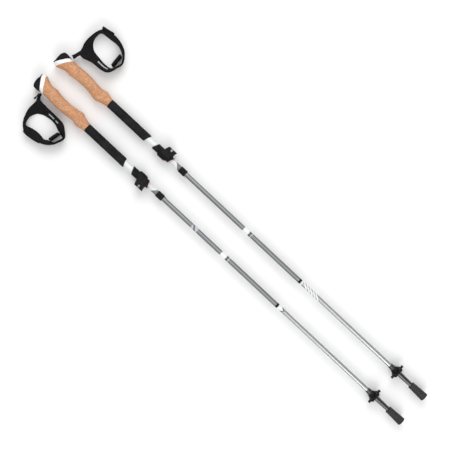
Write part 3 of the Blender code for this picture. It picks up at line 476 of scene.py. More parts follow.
def foam_finish(colours):
    """Closed-cell foam: matt black with fine pores."""
    material, shader = new_finish("cell_foam")
    pores = add_node(material, "ShaderNodeTexVoronoi",
                     {"Vector": place(material), "Scale": 1100.0})
    cloud = grain(material, 90.0, 4.0)
    tone = spread(material, cloud.outputs["Fac"], 0.0, 1.0)
    wired(material, mixed(material, tone, shade(colours.foam, 0.7), shade(colours.foam, 1.6)),
          shader, "Base Color")
    wired(material, spread(material, pores.outputs["Distance"], 0.78, 0.95, 0.0, 0.6),
          shader, "Roughness")
    relief = bumped(material, shader, pores.outputs["Distance"], 0.22 * MM)
    bumped(material, shader, cloud.outputs["Fac"], 0.3 * MM, below=relief)
    shader.inputs["Specular IOR Level"].default_value = 0.12
    return material


def plastic_finish(name, colour, rough, grit=1800.0, depth=0.03 * MM, gloss=0.14):
    """Moulded plastic with spark-eroded grit and handling marks."""
    material, shader = new_finish(name)
    fine = grain(material, grit, 2.0)
    cloud = grain(material, 140.0, 5.0, 0.65)
    tone = spread(material, cloud.outputs["Fac"], 0.0, 1.0)
    wired(material, mixed(material, tone, shade(colour, 0.85), shade(colour, 1.35)), shader,
          "Base Color")
    wired(material, spread(material, cloud.outputs["Fac"], rough - 0.07, rough + 0.12), shader,
          "Roughness")
    bumped(material, shader, fine.outputs["Fac"], depth)
    shader.inputs["Specular IOR Level"].default_value = gloss
    return material


def rubber_finish(colours):
    """Moulded rubber: dark grey and matt, with a stippled skin."""
    material, shader = new_finish("moulded_rubber")
    stipple = add_node(material, "ShaderNodeTexVoronoi",
                       {"Vector": place(material), "Scale": 900.0})
    cloud = grain(material, 160.0, 5.0)
    tone = spread(material, cloud.outputs["Fac"], 0.0, 1.0)
    wired(material, mixed(material, tone, shade(colours.rubber, 0.75),
                          shade(colours.rubber, 1.45)), shader, "Base Color")
    wired(material, spread(material, cloud.outputs["Fac"], 0.58, 0.82), shader, "Roughness")
    bumped(material, shader, stipple.outputs["Distance"], 0.16 * MM)
    shader.inputs["Specular IOR Level"].default_value = 0.2
    return material


def brushed_lines(material, shader, rough, depth=0.006 * MM):
    """Fine draw lines along a tube, in its roughness and its relief."""
    lines = grain(material, 1.0, 3.0, 0.6, place(material, (30.0, 4200.0, 4200.0)))
    smudge = grain(material, 60.0, 4.0)
    both = maths(material, "ADD", lines.outputs["Fac"],
                 maths(material, "MULTIPLY", smudge.outputs["Fac"], 0.8))
    wired(material, spread(material, both, rough - 0.08, rough + 0.10, 0.6, 1.2), shader,
          "Roughness")
    bumped(material, shader, lines.outputs["Fac"], depth)
    return lines.outputs["Fac"]


def metal_finish(name, colour, rough):
    """Drawn or turned metal."""
    material, shader = new_finish(name)
    lines = brushed_lines(material, shader, rough)
    tone = spread(material, lines, 0.0, 1.0)
    wired(material, mixed(material, tone, shade(colour, 0.86), shade(colour, 1.10)), shader,
          "Base Color")
    shader.inputs["Metallic"].default_value = 1.0
    return material


class Print:
    """A printed zone on a tube: everything between planes, each an x on the axis and a slope.

    The slope moves the plane along the shaft for each metre out from the axis.
    """

    def __init__(self, start, stop, colour, slope=0.0, stop_slope=None, chevron=False):
        self.start, self.stop, self.colour = start, stop, colour
        self.slope = slope
        self.stop_slope = slope if stop_slope is None else stop_slope
        self.chevron = chevron


def printed_tube(name, side, colour, rough, metallic, prints, coat=0.0):
    """A lacquered or anodised tube with printed zones."""
    material, shader = new_finish(name)
    lines = brushed_lines(material, shader, rough)
    tone = spread(material, lines, 0.0, 1.0)
    body = mixed(material, tone, shade(colour, 0.90), shade(colour, 1.08))
    wear = grain(material, 700.0, 5.0, 0.7)
    keep = spread(material, wear.outputs["Fac"], 0.0, 1.0, 0.24, 0.30)
    position = add_node(material, "ShaderNodeSeparateXYZ", {"Vector": place(material)})
    middle = pole_frame(side).translation.y
    out = maths(material, "MULTIPLY", maths(material, "SUBTRACT", position.outputs["Y"], middle),
                float(SIDES[side]))
    if prints:
        total = None
        for zone in prints:
            across = maths(material, "ABSOLUTE", out) if zone.chevron else out
            ahead = maths(material, "SUBTRACT", position.outputs["X"],
                          maths(material, "MULTIPLY", across, zone.slope))
            behind = maths(material, "SUBTRACT", position.outputs["X"],
                           maths(material, "MULTIPLY", across, zone.stop_slope))
            inside = maths(material, "MULTIPLY",
                           maths(material, "GREATER_THAN", ahead, zone.start),
                           maths(material, "LESS_THAN", behind, zone.stop))
            inside = maths(material, "MULTIPLY", inside, keep)
            body = mixed(material, inside, body, (*zone.colour, 1.0))
            total = inside if total is None else maths(material, "MAXIMUM", total, inside)
        wired(material, spread(material, total, metallic, 0.0, 0.0, 1.0), shader, "Metallic")
    else:
        shader.inputs["Metallic"].default_value = metallic
    wired(material, body, shader, "Base Color")
    shader.inputs["Coat Weight"].default_value = coat
    shader.inputs["Coat Roughness"].default_value = 0.12
    return material


def woven_finish(name, colour, pitch, depth, gloss=0.12, rough=0.85):
    """Woven tape: rows of over-and-under threads, laid out along the strap."""
    material, shader = new_finish(name)
    source = add_node(material, "ShaderNodeUVMap", uv_map="run")
    parts = add_node(material, "ShaderNodeSeparateXYZ", {"Vector": source.outputs["UV"]})
    along = maths(material, "MULTIPLY", parts.outputs["X"], math.tau / pitch)
    across = maths(material, "MULTIPLY", parts.outputs["Y"], math.tau / pitch)
    warp = maths(material, "SINE", maths(material, "ADD", along, across))
    weft = maths(material, "SINE", maths(material, "SUBTRACT", along, across))
    weave = maths(material, "MULTIPLY", warp, weft)
    fuzz = grain(material, 2600.0, 3.0)
    cloud = grain(material, 110.0, 4.0)
    tone = maths(material, "ADD", spread(material, weave, 0.0, 0.6, -1.0, 1.0),
                 spread(material, cloud.outputs["Fac"], 0.0, 0.4))
    wired(material, mixed(material, tone, shade(colour, 0.55), shade(colour, 1.9)), shader,
          "Base Color")
    wired(material, spread(material, fuzz.outputs["Fac"], rough - 0.08, rough + 0.08), shader,
          "Roughness")
    relief = bumped(material, shader, weave, depth)
    bumped(material, shader, fuzz.outputs["Fac"], 0.05 * MM, below=relief)
    shader.inputs["Specular IOR Level"].default_value = gloss
    return material


def plain_finish(name, colour, rough):
    """A floor or wall with a very slight unevenness."""
    material, shader = new_finish(name)
    cloud = grain(material, 3.0, 3.0)
    wired(material, mixed(material, cloud.outputs["Fac"], shade(colour, 0.99),
                          shade(colour, 1.01)), shader, "Base Color")
    shader.inputs["Roughness"].default_value = rough
    return material


FINISHES = {}


def finish(name):
    """A finish by its name, made once."""
    colours = bpy.context.scene.pole_colours
    makers = {
        "cork": lambda: cork_finish(colours),
        "foam": lambda: foam_finish(colours),
        "rubber": lambda: rubber_finish(colours),
        "black_plastic": lambda: plastic_finish("black_nylon", colours.plastic, 0.38),
        "tip_plastic": lambda: plastic_finish("polished_nylon", colours.plastic, 0.17, 1800.0,
                                              0.008 * MM, 0.9),
        "white_plastic": lambda: plastic_finish("white_nylon", colours.cap, 0.32, 900.0,
                                                0.012 * MM, 0.5),
        "steel": lambda: metal_finish("bright_steel", (0.66, 0.67, 0.68), 0.24),
        "dull_steel": lambda: metal_finish("blasted_steel", (0.36, 0.36, 0.37), 0.42),
        "carbide": lambda: metal_finish("ground_carbide", (0.30, 0.30, 0.31), 0.36),
        "silver_aluminium": lambda: metal_finish("silver_tube", colours.silver, 0.30),
        "grey_aluminium": lambda: metal_finish("grey_tube", colours.grey, 0.34),
        "coated_cable": lambda: plastic_finish("cable_coat", (0.05, 0.05, 0.05), 0.45),
        "band": lambda: woven_finish("padded_mesh", colours.fabric, 1.6 * MM, 0.22 * MM),
        "webbing": lambda: woven_finish("black_webbing", colours.fabric, 1.1 * MM, 0.18 * MM),
        "binding": lambda: woven_finish("edge_tape", shade(colours.fabric, 0.45), 0.9 * MM,
                                        0.10 * MM, 0.10, 0.7),
        "thread": lambda: woven_finish("thread", shade(colours.fabric, 2.0), 0.5 * MM,
                                       0.05 * MM, 0.15, 0.6),
        "label": lambda: woven_finish("grey_tape", (0.42, 0.43, 0.44), 0.8 * MM, 0.08 * MM,
                                      0.2, 0.55),
        "hook_tape": lambda: woven_finish("hook_tape", shade(colours.fabric, 1.3), 0.8 * MM,
                                          0.25 * MM, 0.08, 0.95),
    }
    if name not in FINISHES:
        FINISHES[name] = makers[name]()
    return FINISHES[name]


# Band of the hand strap.

def band_edges(side, row):
    """The band's upper and lower edge points at one row of its loop."""
    upper_drop, upper_out, lower_drop, lower_out = row
    lean_out = math.hypot(upper_drop - lower_drop, upper_out - lower_out)
    top = math.sqrt(max(BAND_WIDTH ** 2 - lean_out ** 2, BAND_LOW_TOP ** 2))
    bottom = -pole_frame(side).translation.z
    return (Vector((HANDLE_TOP + upper_drop, upper_out, bottom + top)),
            Vector((HANDLE_TOP + lower_drop, lower_out, bottom)))


class Station:
    """The band's frame at one place: the width way points to its upper edge, and the thickness
    way to its inner face."""

    def __init__(self, centre, half, width_way, thick_way, run, along):
        self.centre, self.half, self.along = centre, half, along
        self.width_way, self.thick_way, self.run = width_way, thick_way, run

    def at(self, width, thick):
        """The point at a place across the band and a depth from its middle surface."""
        return self.centre + self.width_way * width + self.thick_way * thick


def band_stations(side, steps=LOOP_STEPS):
    """Stations all round a loop."""
    edges = [band_edges(side, row) for row in smooth_path(LOOPS[side], True, steps)]
    centres = [(upper + lower) / 2 for upper, lower in edges]
    stations = []
    along = 0.0
    for i, (upper, lower) in enumerate(edges):
        width_way = (upper - lower).normalized()
        run = (centres[(i + 1) % len(edges)] - centres[i - 1]).normalized()
        run = (run - width_way * run.dot(width_way)).normalized()
        stations.append(Station(centres[i], (upper - lower).length / 2, width_way,
                                width_way.cross(run), run, along))
        along += (centres[(i + 1) % len(edges)] - centres[i]).length
    return stations


def add_run_map(shape, widths):
    """Lay a map over a loft: along the strap in metres, and round its section.

    Each face's corners take the place of their own vertex, so that the weave follows the run.
    """
    layer = shape.loops.layers.uv.new("run")
    for face in shape.faces:
        places = [widths[loop.vert.index] for loop in face.loops]
        far = max(p[0] for p in places)
        for loop, (along, across) in zip(face.loops, places):
            wraps = far - along > 0.1
            loop[layer].uv = (along + (far if wraps else 0.0), across)


def strip(stations, section, closed):
    """A loft along stations. The section function gives (width, thickness) points for each."""
    rings, places = [], []
    for share, station in enumerate(stations):
        points = section(station, share / max(1, len(stations) - 1))
        rings.append([station.at(width, thick) for width, thick in points])
        places += [(station.along, width) for width, thick in points]
    shape = lofted(rings, closed)
    shape.verts.index_update()
    add_run_map(shape, places)
    return shape


def band_section(station, _):
    """Crowned padding that thins toward its two bound edges."""
    count = 16
    half = station.half - 0.6 * MM
    top, bottom = [], []
    for i in range(count + 1):
        u = -1.0 + 2.0 * i / count
        ripple = 0.10 * MM * math.cos(u * 4 * math.pi)
        thick = 0.55 * MM + 1.55 * MM * (1.0 - abs(u) ** 4) + ripple * (1.0 - u * u)
        top.append((u * half, thick))
        bottom.append((u * half, -thick))
    return top + bottom[::-1]


def round_section(width, half_width, half_thick, count=12, offset=0.0, power=2.0):
    """Points of an oval about a place across the band."""
    points = []
    for i in range(count):
        angle = math.tau * i / count
        c, s = math.cos(angle), math.sin(angle)
        points.append((width + half_width * math.copysign(abs(c) ** (2 / power), c),
                       offset + half_thick * math.copysign(abs(s) ** (2 / power), s)))
    return points


def stitch_row(stations, width, thick, length=2.3 * MM, pitch=3.3 * MM):
    """A row of thread stitches on the band: width gives the place across each station."""
    shape = bmesh.new()
    total = stations[-1].along
    for k in range(int(total / pitch)):
        start = k * pitch
        near = min(range(len(stations)), key=lambda i: abs(stations[i].along - start))
        station = stations[near]
        shift = start - station.along
        middle = station.at(width(station), thick) + station.run * shift
        up = station.thick_way * math.copysign(1.0, thick)
        rings = []
        for along, size in ((-0.5, 0.25), (-0.3, 0.9), (0.0, 1.0), (0.3, 0.9), (0.5, 0.25)):
            centre = middle + station.run * along * length + up * 0.12 * MM * (size - 0.5)
            rings.append([centre + station.width_way * 0.32 * MM * size * math.cos(a)
                          + up * 0.26 * MM * size * math.sin(a)
                          for a in (math.tau * j / 6 for j in range(6))])
        loops = [[shape.verts.new(point) for point in ring] for ring in rings]
        for here, there in zip(loops, loops[1:]):
            bridge(shape, here, there)
        shape.faces.new(loops[0])
        shape.faces.new(loops[-1])
    shape.loops.layers.uv.new("run")
    return shape


# Operators: one for each group of pieces.

class PoleOperator:
    """What every operator of this file shares."""
    bl_options = {"REGISTER", "UNDO"}

    def execute(self, context):
        for side in SIDES:
            self.build(side)
        return {"FINISHED"}


def grip_half(distance, angle, rows):
    """The grip's surface at a distance above the cork's lower end and an angle about it."""
    i = min(int(distance / rows[-1][0] * (len(rows) - 1)), len(rows) - 2)
    while i > 0 and rows[i][0] > distance:
        i -= 1
    while i < len(rows) - 2 and rows[i + 1][0] < distance:
        i += 1
    t = (distance - rows[i][0]) / max(rows[i + 1][0] - rows[i][0], 1e-9)
    _, back, front, half = rows[i].lerp(rows[i + 1], min(max(t, 0.0), 1.0))
    roundness = bpy.context.scene.pole_sizes.grip_roundness
    c, s = math.cos(angle), math.sin(angle)
    across = math.copysign(abs(c) ** (2 / roundness), c)
    upward = math.copysign(abs(s) ** (2 / roundness), s)
    return across * (back if c > 0 else front), upward * half


def grip_blank(side):
    """The whole handle's outer form, finely sampled."""
    lower_end = ends(side, "cork_grip")[1]
    rows = smooth_path(GRIP_SECTIONS, False, 8)
    count, steps = 110, 80
    rings = []
    for k in range(count + 1):
        distance = GRIP_SECTIONS[-1][0] * k / count
        ring = []
        for i in range(steps):
            out, up = grip_half(distance, math.tau * i / steps, rows)
            ring.append((lower_end - distance, out, up))
        rings.append(ring)
    return lofted(rings)


class POLES_OT_cork_grips(PoleOperator, bpy.types.Operator):
    """Build the shaped cork handles"""
    bl_idname = "poles.cork_grips"
    bl_label = "Cork grips"

    def build(self, side):
        blank = sliced(grip_blank(side), (HANDLE_TOP + CORK_TOP_DROP, 0, 0),
                       (-1.0, CORK_TOP_SLOPE, 0))
        lower_end = ends(side, "cork_grip")[1]
        bore = cylinder((lower_end, 0, 0), (1, 0, 0), reach(side, "upper_tube") + GAP,
                        2 * (lower_end - ends(side, "upper_tube")[0] + GAP), 64)
        shape = combined(blank, [bore], "DIFFERENCE")
        add_piece("cork_handle", shape, side, "handles", "cork", ["cork_grip"], bevel=0.5 * MM)


class POLES_OT_heads(PoleOperator, bpy.types.Operator):
    """Build the white head caps and the black wedges on them"""
    bl_idname = "poles.heads"
    bl_label = "Heads"

    def build(self, side):
        blank = sliced(grip_blank(side), (HANDLE_TOP + CORK_TOP_DROP - GAP, 0, 0),
                       (1.0, -CORK_TOP_SLOPE, 0))
        blank = sliced(blank, (HANDLE_TOP + CAP_TOP_DROP, 0, 0), (-1.0, CAP_TOP_SLOPE, 0))
        front, far = -3.0 * MM, 40.0 * MM
        floor = HANDLE_TOP + CORK_TOP_DROP - GAP - 3.5 * MM
        outline = [(floor + CORK_TOP_SLOPE * front, front), (floor + CORK_TOP_SLOPE * far, far),
                   (HANDLE_TOP - 20 * MM, far), (HANDLE_TOP - 20 * MM, front)]
        slot = extruded([(x, out, -SLOT_HALF_WIDTH) for x, out in outline],
                        (0, 0, 2 * SLOT_HALF_WIDTH))
        shape = combined(blank, [slot], "DIFFERENCE")
        add_piece("cap", shape, side, "handles", "white_plastic", ["head_cap"], bevel=0.45 * MM)
        self.wedge(side)

    def wedge(self, side):
        """The wedge follows the handle's outline, with its tongue in the cap's slot."""
        half = 12.0 * MM

        def underside(out):
            return HANDLE_TOP + CAP_TOP_DROP - GAP + CAP_TOP_SLOPE * out

        outline = [(underside(-0.0204), -0.0204), (underside(0.0135), 0.0135),
                   *((HANDLE_TOP + drop, out) for drop, out in WEDGE_CROWN)]
        body = extruded([(x, out, -half) for x, out in outline], (0, 0, 2 * half))
        tongue_half = SLOT_HALF_WIDTH - GAP
        tongue = [block((HANDLE_TOP + start, -2.7 * MM, -tongue_half),
                        (HANDLE_TOP + CAP_TOP_DROP + past, 3.0 * MM, tongue_half))
                  for start, past in ((8 * MM, 4.0 * MM), (4 * MM, 6.0 * MM))]
        mouth = block((HANDLE_TOP + 17 * MM, 9 * MM, -SLOT_HALF_WIDTH),
                      (HANDLE_TOP + 30 * MM, 20 * MM, SLOT_HALF_WIDTH))
        shape = combined(combined(body, tongue, "UNION"), [mouth], "DIFFERENCE")
        add_piece("wedge_body", shape, side, "wedge", "black_plastic", ["strap_wedge"],
                  bevel=1.8 * MM, sharp=38)


class POLES_OT_foam_sleeves(PoleOperator, bpy.types.Operator):
    """Build the foam grips below the cork"""
    bl_idname = "poles.foam_sleeves"
    bl_label = "Foam grips"

    def build(self, side):
        top, low = ends(side, "foam_sleeve")
        radius = reach(side, "foam_sleeve")
        bore = reach(side, "upper_tube") + GAP
        profile = [(top, bore), (top, radius - 0.7 * MM), (top + 0.3 * MM, radius - 0.2 * MM),
                   (top + 0.9 * MM, radius)]
        rings = 60
        profile += [(top + 1 * MM + (low - top - 4 * MM) * i / rings, radius)
                    for i in range(rings + 1)]
        profile += [(low - 1.6 * MM, radius - 0.5 * MM), (low - 0.6 * MM, radius - 1.3 * MM),
                    (low, radius - 2.3 * MM), (low, bore)]

        slant, taper = 0.36, 12 * MM

        def soft(x, r, angle):
            if r < bore + 0.1 * MM:
                return r
            wave = math.sin(x * 900 + 3 * angle) * math.sin(x * 230 - 2 * angle)
            return r - 0.06 * MM + 0.06 * MM * wave

        shape = turned(profile, surface=soft)
        for vert in shape.verts:
            share = max(0.0, (vert.co.x - low + taper) / taper)
            vert.co.x += slant * share * (vert.co.y - radius)
        add_piece("foam_grip", shape, side, "handles", "foam", ["foam_sleeve"])


class POLES_OT_tubes(PoleOperator, bpy.types.Operator):
    """Build the upper, adjusting, middle and lower tubes with their prints"""
    bl_idname = "poles.tubes"
    bl_label = "Tubes"

    def build(self, side):
        colours = bpy.context.scene.pole_colours
        white, silver, grey = colours.lacquer[:], colours.silver[:], colours.grey[:]
        pale, ink = (0.80, 0.81, 0.82), (0.03, 0.03, 0.035)
        foot_end = CAD_BOX[1][0]
        adjust_low = ends(side, "adjust_tube")[1]

        def at(station):
            return foot_end - station

        ticks = [Print(at(0.8285 - 0.003 * i) - 0.2 * MM, at(0.8285 - 0.003 * i) + 0.2 * MM,
                       (0.30, 0.31, 0.33)) for i in range(4)]
        clamp_low = ends(side, "clamp_collar")[1]
        ticks.append(Print(clamp_low - 5 * MM, clamp_low + 1.5 * MM, (0.58, 0.44, 0.42),
                           slope=0.4))
        grey_end = Print(at(0.8125), adjust_low + MM, tuple(0.55 * part for part in grey),
                         slope=-1.0, stop_slope=0.0)
        middle_marks = [Print(at(0.593), at(0.577), pale),
                        Print(at(0.5745), at(0.5725), ink), Print(at(0.5690), at(0.5680), pale)]
        if side == "left":
            middle_marks += [Print(at(0.689), at(0.671), (0.50, 0.49, 0.53)),
                             Print(at(0.684), at(0.679), (0.10, 0.10, 0.12), slope=0.8)]
            lower_marks = [Print(at(0.403), at(0.391), pale, slope=-1.2, chevron=True),
                           Print(at(0.3885), at(0.3865), ink, slope=-1.2, chevron=True)]
        else:
            lower_marks = [Print(at(0.404), at(0.401), pale)]
            lower_marks += [Print(at(0.394 - 0.0095 * i), at(0.3885 - 0.0095 * i), pale,
                                  slope=-1.5) for i in range(5)]
        parts = [
            ("upper", "upper_tube", "handles", "white_lacquer", white, 0.26, 0.0, [], 0.5),
            ("adjusting", "adjust_tube", "adjust", "white_lacquer", white, 0.26, 0.0,
             [grey_end, *ticks], 0.5),
            ("middle", "middle_shaft", "middle", "grey_aluminium", grey, 0.34, 1.0,
             middle_marks, 0.0),
            ("lower", "lower_shaft", "lower", "silver_aluminium", silver, 0.30, 1.0,
             lower_marks, 0.0),
        ]
        for name, node, body, slot, colour, rough, metallic, prints, coat in parts:
            start, stop = ends(side, node)
            outer = reach(side, node)
            inner = outer - (0.65 if outer > 6.5 * MM else 0.7) * MM
            rings = 40
            profile = [(start + (stop - start) * i / rings, outer) for i in range(rings + 1)]
            profile += [(stop, inner), (start, inner)]
            material = printed_tube(f"{side}_{name}_skin", side, colour, rough, metallic,
                                    prints, coat)
            add_piece(name + "_section", turned(profile), side, body, slot, [node], look=material,
                      bevel=0.12 * MM)
        self.spigot(side)

    def spigot(self, side):
        """The plug that the lower shaft pulls off, with its chamfered nose."""
        top, nose = ends(side, "lower_spigot")
        middle_low = ends(side, "middle_shaft")[1]
        slim, wide, bore = 4.7 * MM, 5.0 * MM, 2.05 * MM
        profile = [(top, wide), (middle_low - GAP, wide), (middle_low - GAP, slim),
                   (nose - 4 * MM, slim), (nose - 1.5 * MM, slim - 0.5 * MM),
                   (nose, slim - 1.4 * MM), (nose, bore), (top, bore)]
        add_piece("lower_plug", turned(profile), side, "middle", "silver_aluminium",
                  ["lower_spigot"], bevel=0.2 * MM)


class POLES_OT_joints(PoleOperator, bpy.types.Operator):
    """Build the ring between the shafts, the locking ferrule and the push-button"""
    bl_idname = "poles.joints"
    bl_label = "Joints and lock"

    def build(self, side):
        start, stop = ends(side, "joint_ring")
        radius = reach(side, "joint_ring")
        middle = (start + stop) / 2
        bead, wall, round_off = radius + 0.3 * MM, 0.9 * MM, 0.5 * MM
        profile = [(start, radius - wall), (start, radius), (start + round_off, bead),
                   (middle - round_off, bead), (middle, radius), (middle + round_off, bead),
                   (stop - round_off, bead), (stop, radius), (stop, radius - wall)]
        add_piece("shaft_ring", turned(profile), side, "middle", "black_plastic", ["joint_ring"])
        self.ferrule(side)
        self.tension(side)

    def ferrule(self, side):
        """The grooved collar on the adjusting tube."""
        top, low = ends(side, "lock_ferrule")
        radius = reach(side, "lock_ferrule")
        tube = reach(side, "adjust_tube") + GAP
        shaft = reach(side, "middle_shaft") + GAP
        profile = [(top, tube), (top, radius - 0.5 * MM), (top + 0.5 * MM, radius)]
        for i in range(3):
            groove = top + (5.0 + 3.2 * i) * MM
            profile += [(groove - 0.35 * MM, radius), (groove, radius - 0.4 * MM),
                        (groove + 0.35 * MM, radius)]
        profile += [(low - 1.6 * MM, radius), (low - 0.6 * MM, radius - 0.35 * MM),
                    (low, radius - 1.0 * MM), (low, shaft), (low - 3.0 * MM, shaft),
                    (low - 3.0 * MM, tube)]
        add_piece("ferrule", turned(profile), side, "adjust", "black_plastic", ["lock_ferrule"],
                  bevel=0.12 * MM)

    def tension(self, side):
        """The inner tube with its button hole, and the button itself."""
        top, nose = ends(side, "tension_tube")
        button_top, button_low = ends(side, "lock_button")
        shoulder = ends(side, "middle_shaft")[0] - GAP
        outer, slim = reach(side, "middle_shaft"), 5.0 * MM
        profile = [(top, outer), (shoulder, outer), (shoulder, slim), (nose - 4 * MM, slim),
                   (nose - MM, slim - 0.45 * MM), (nose, slim - 1.0 * MM),
                   (nose, slim - 1.6 * MM), (shoulder - 2 * MM, slim - 1.1 * MM),
                   (shoulder - 2 * MM, outer - 0.7 * MM), (top, outer - 0.7 * MM)]
        middle = (button_top + button_low) / 2
        radius = (button_low - button_top) / 2
        hole = cylinder((middle, -outer, 0), (0, 1, 0), radius + GAP, 5 * MM)
        add_piece("tension_sleeve", combined(turned(profile), [hole], "DIFFERENCE"), side,
                  "adjust", "grey_aluminium", ["tension_tube"], bevel=0.12 * MM)
        rows = [(4.6, 0.98), (7.4, 1.0), (7.9, 0.97), (8.25, 0.85), (8.42, 0.62), (8.5, 0.3)]
        steps = 40
        rings = [[(middle + radius * share * math.cos(math.tau * i / steps), -out * MM,
                   radius * share * math.sin(math.tau * i / steps)) for i in range(steps)]
                 for out, share in rows]
        add_piece("push_button", lofted(rings), side, "button", "steel", ["lock_button"])


class POLES_OT_clamps(PoleOperator, bpy.types.Operator):
    """Build the split collars, their levers, bolts and nuts"""
    bl_idname = "poles.clamps"
    bl_label = "Clamps"

    def build(self, side):
        x, out, up = bolt_place(side)
        self.collar(side, x, out)
        self.lever(side, x, out, up)
        self.bolt(side, x, out, up)
        self.nut(side, x, out)

    def collar(self, side, x, out):
        """The grooved sleeve with slanted ends, its two ears and its slit."""
        radius = 10.0 * MM
        low, top = x + 14 * MM, x - 37 * MM
        slant = 0.40
        profile = [(low + 6 * MM, 0.0), (low + 6 * MM, radius - 1.6 * MM),
                   (low - 4 * MM, radius - 1.2 * MM), (low - 5 * MM, radius)]
        for i in range(5):
            groove = x - 15 * MM - 3.0 * MM * i
            profile += [(groove + 0.5 * MM, radius), (groove, radius - 0.55 * MM),
                        (groove - 0.5 * MM, radius)]
        profile += [(top - 6 * MM, radius), (top - 6 * MM, 0.0)]
        sleeve = turned(profile, 96)
        sleeve = sliced(sleeve, (low, 0, 0), (1.0, -slant, 0))
        sleeve = sliced(sleeve, (top, 0, 0), (-1.0, slant, 0))
        ear = 4.6 * MM
        half, corner, near, far = 11 * MM, 4 * MM, 4 * MM, 21.5 * MM
        turn, tip = half - corner, far - corner
        outline = [(x - half, near)]
        outline += [(x + a, b) for a, b in arc((-turn, tip), corner, 180, 90, 9)]
        outline += [(x + a, b) for a, b in arc((turn, tip), corner, 90, 0, 9)]
        outline.append((x + half, near))
        ears = extruded([(a, b, -ear) for a, b in outline], (0, 0, 2 * ear))
        shoulder = low - 10 * MM
        tube, sleeve_bore = 7.3 * MM, 8.3 * MM
        bore = turned([(low + 20 * MM, 0.0), (low + 20 * MM, tube), (shoulder, tube),
                       (shoulder, sleeve_bore), (top - 20 * MM, sleeve_bore),
                       (top - 20 * MM, 0.0)], 96)
        slit = block((top - 20 * MM, 3 * MM, -0.8 * MM), (low + 20 * MM, 27 * MM, 0.8 * MM))
        hole = cylinder((x, out, 0), (0, 0, 1), 2.3 * MM, 20 * MM)
        shape = combined(combined(sleeve, [ears], "UNION"), [bore, slit, hole], "DIFFERENCE")
        add_piece("collar", shape, side, "handles", "black_plastic", ["clamp_collar"],
                  bevel=0.5 * MM, sharp=50)

    def lever(self, side, x, out, up):
        """The lever: a round head on the pin and a plate that wraps the collar."""
        head, radius = (out, up), 5.2 * MM
        inner, thick = 10.6 * MM, 2.8 * MM
        width, shear = 24 * MM, 0.35
        outline = arc(head, radius, 215, 455, 40)
        outline += arc((0, 0), inner + thick, 80, 197, 40)
        outline += arc((0, 0), inner, 197, 64, 40)
        points = [(x + width / 2 - shear * (out - o), o, u) for o, u in outline]
        plate = extruded(points, (-width, 0, 0))
        slot_half = 2.8 * MM
        slot = block((x - slot_half, out - 4.2 * MM, 0), (x + slot_half, out + 20 * MM, 30 * MM))
        pin = cylinder((x, out, up), (1, 0, 0), 1.8 * MM, 2 * width)
        middle = x - shear * (out + inner)
        notch, corner, spacing = 3.5 * MM, 4.2 * MM, 12.5 * MM
        bites = [cylinder((middle + shift, -inner - 5.2 * MM, 0), (0, 0, 1), size, 30 * MM)
                 for shift, size in ((0.0, notch), (-spacing, corner), (spacing, corner))]
        shape = combined(plate, [slot, pin, *bites], "DIFFERENCE")
        ribs = []
        for i in range(6):
            angle = math.radians(100 + 13 * i)
            o, u = (inner + thick) * math.cos(angle), (inner + thick) * math.sin(angle)
            centre_x = x - shear * (out - o)
            ribs.append(cylinder((centre_x, o, u), (1, 0, 0), 0.55 * MM, width - 5 * MM, 16))
        shape = combined(shape, ribs, "UNION")
        add_piece("lever", shape, side, "lever", "black_plastic", ["clamp_lever"], bevel=0.4 * MM,
                  sharp=50)

    def bolt(self, side, x, out, up):
        """The eye bolt through the ears, and the pin through its eye."""
        low = -12.6 * MM
        shank = cylinder((x, out, (up + low) / 2), (0, 0, 1), 2.0 * MM, up - low)
        eye = cylinder((x, out, up), (1, 0, 0), 3.4 * MM, 5.0 * MM, 64)
        hole = cylinder((x, out, up), (1, 0, 0), 1.8 * MM, 12 * MM)
        shape = combined(combined(shank, [eye], "UNION"), [hole], "DIFFERENCE")
        add_piece("eye_bolt", shape, side, "handles", "steel", ["clamp_bolt"], look="dull_steel",
                  bevel=0.35 * MM, sharp=50)
        start, stop = ends(side, "lever_pin")
        pin = cylinder(((start + stop) / 2, out, up), (1, 0, 0), 1.5 * MM, stop - start)
        add_piece("cross_pin", pin, side, "handles", "steel", ["lever_pin"], bevel=0.3 * MM)

    def nut(self, side, x, out):
        """The grooved nut below the ears."""
        top, height, radius, count = -4.9 * MM, 5.0 * MM, 5.2 * MM, 24
        rings = []
        steps = count * 4
        for z, share in ((top, 0.93), (top - 0.5 * MM, 1.0), (top - height + 0.5 * MM, 1.0),
                         (top - height, 0.93)):
            ring = []
            for i in range(steps):
                angle = math.tau * i / steps
                r = radius * share - 0.45 * MM * (0.5 - 0.5 * math.cos(count * angle))
                ring.append((x + r * math.cos(angle), out + r * math.sin(angle), z))
            rings.append(ring)
        bore = cylinder((x, out, top), (0, 0, 1), 2.3 * MM, 20 * MM)
        add_piece("grip_nut", combined(lofted(rings), [bore], "DIFFERENCE"), side, "nut",
                  "black_plastic", ["thumb_nut"], bevel=0.15 * MM, sharp=50)


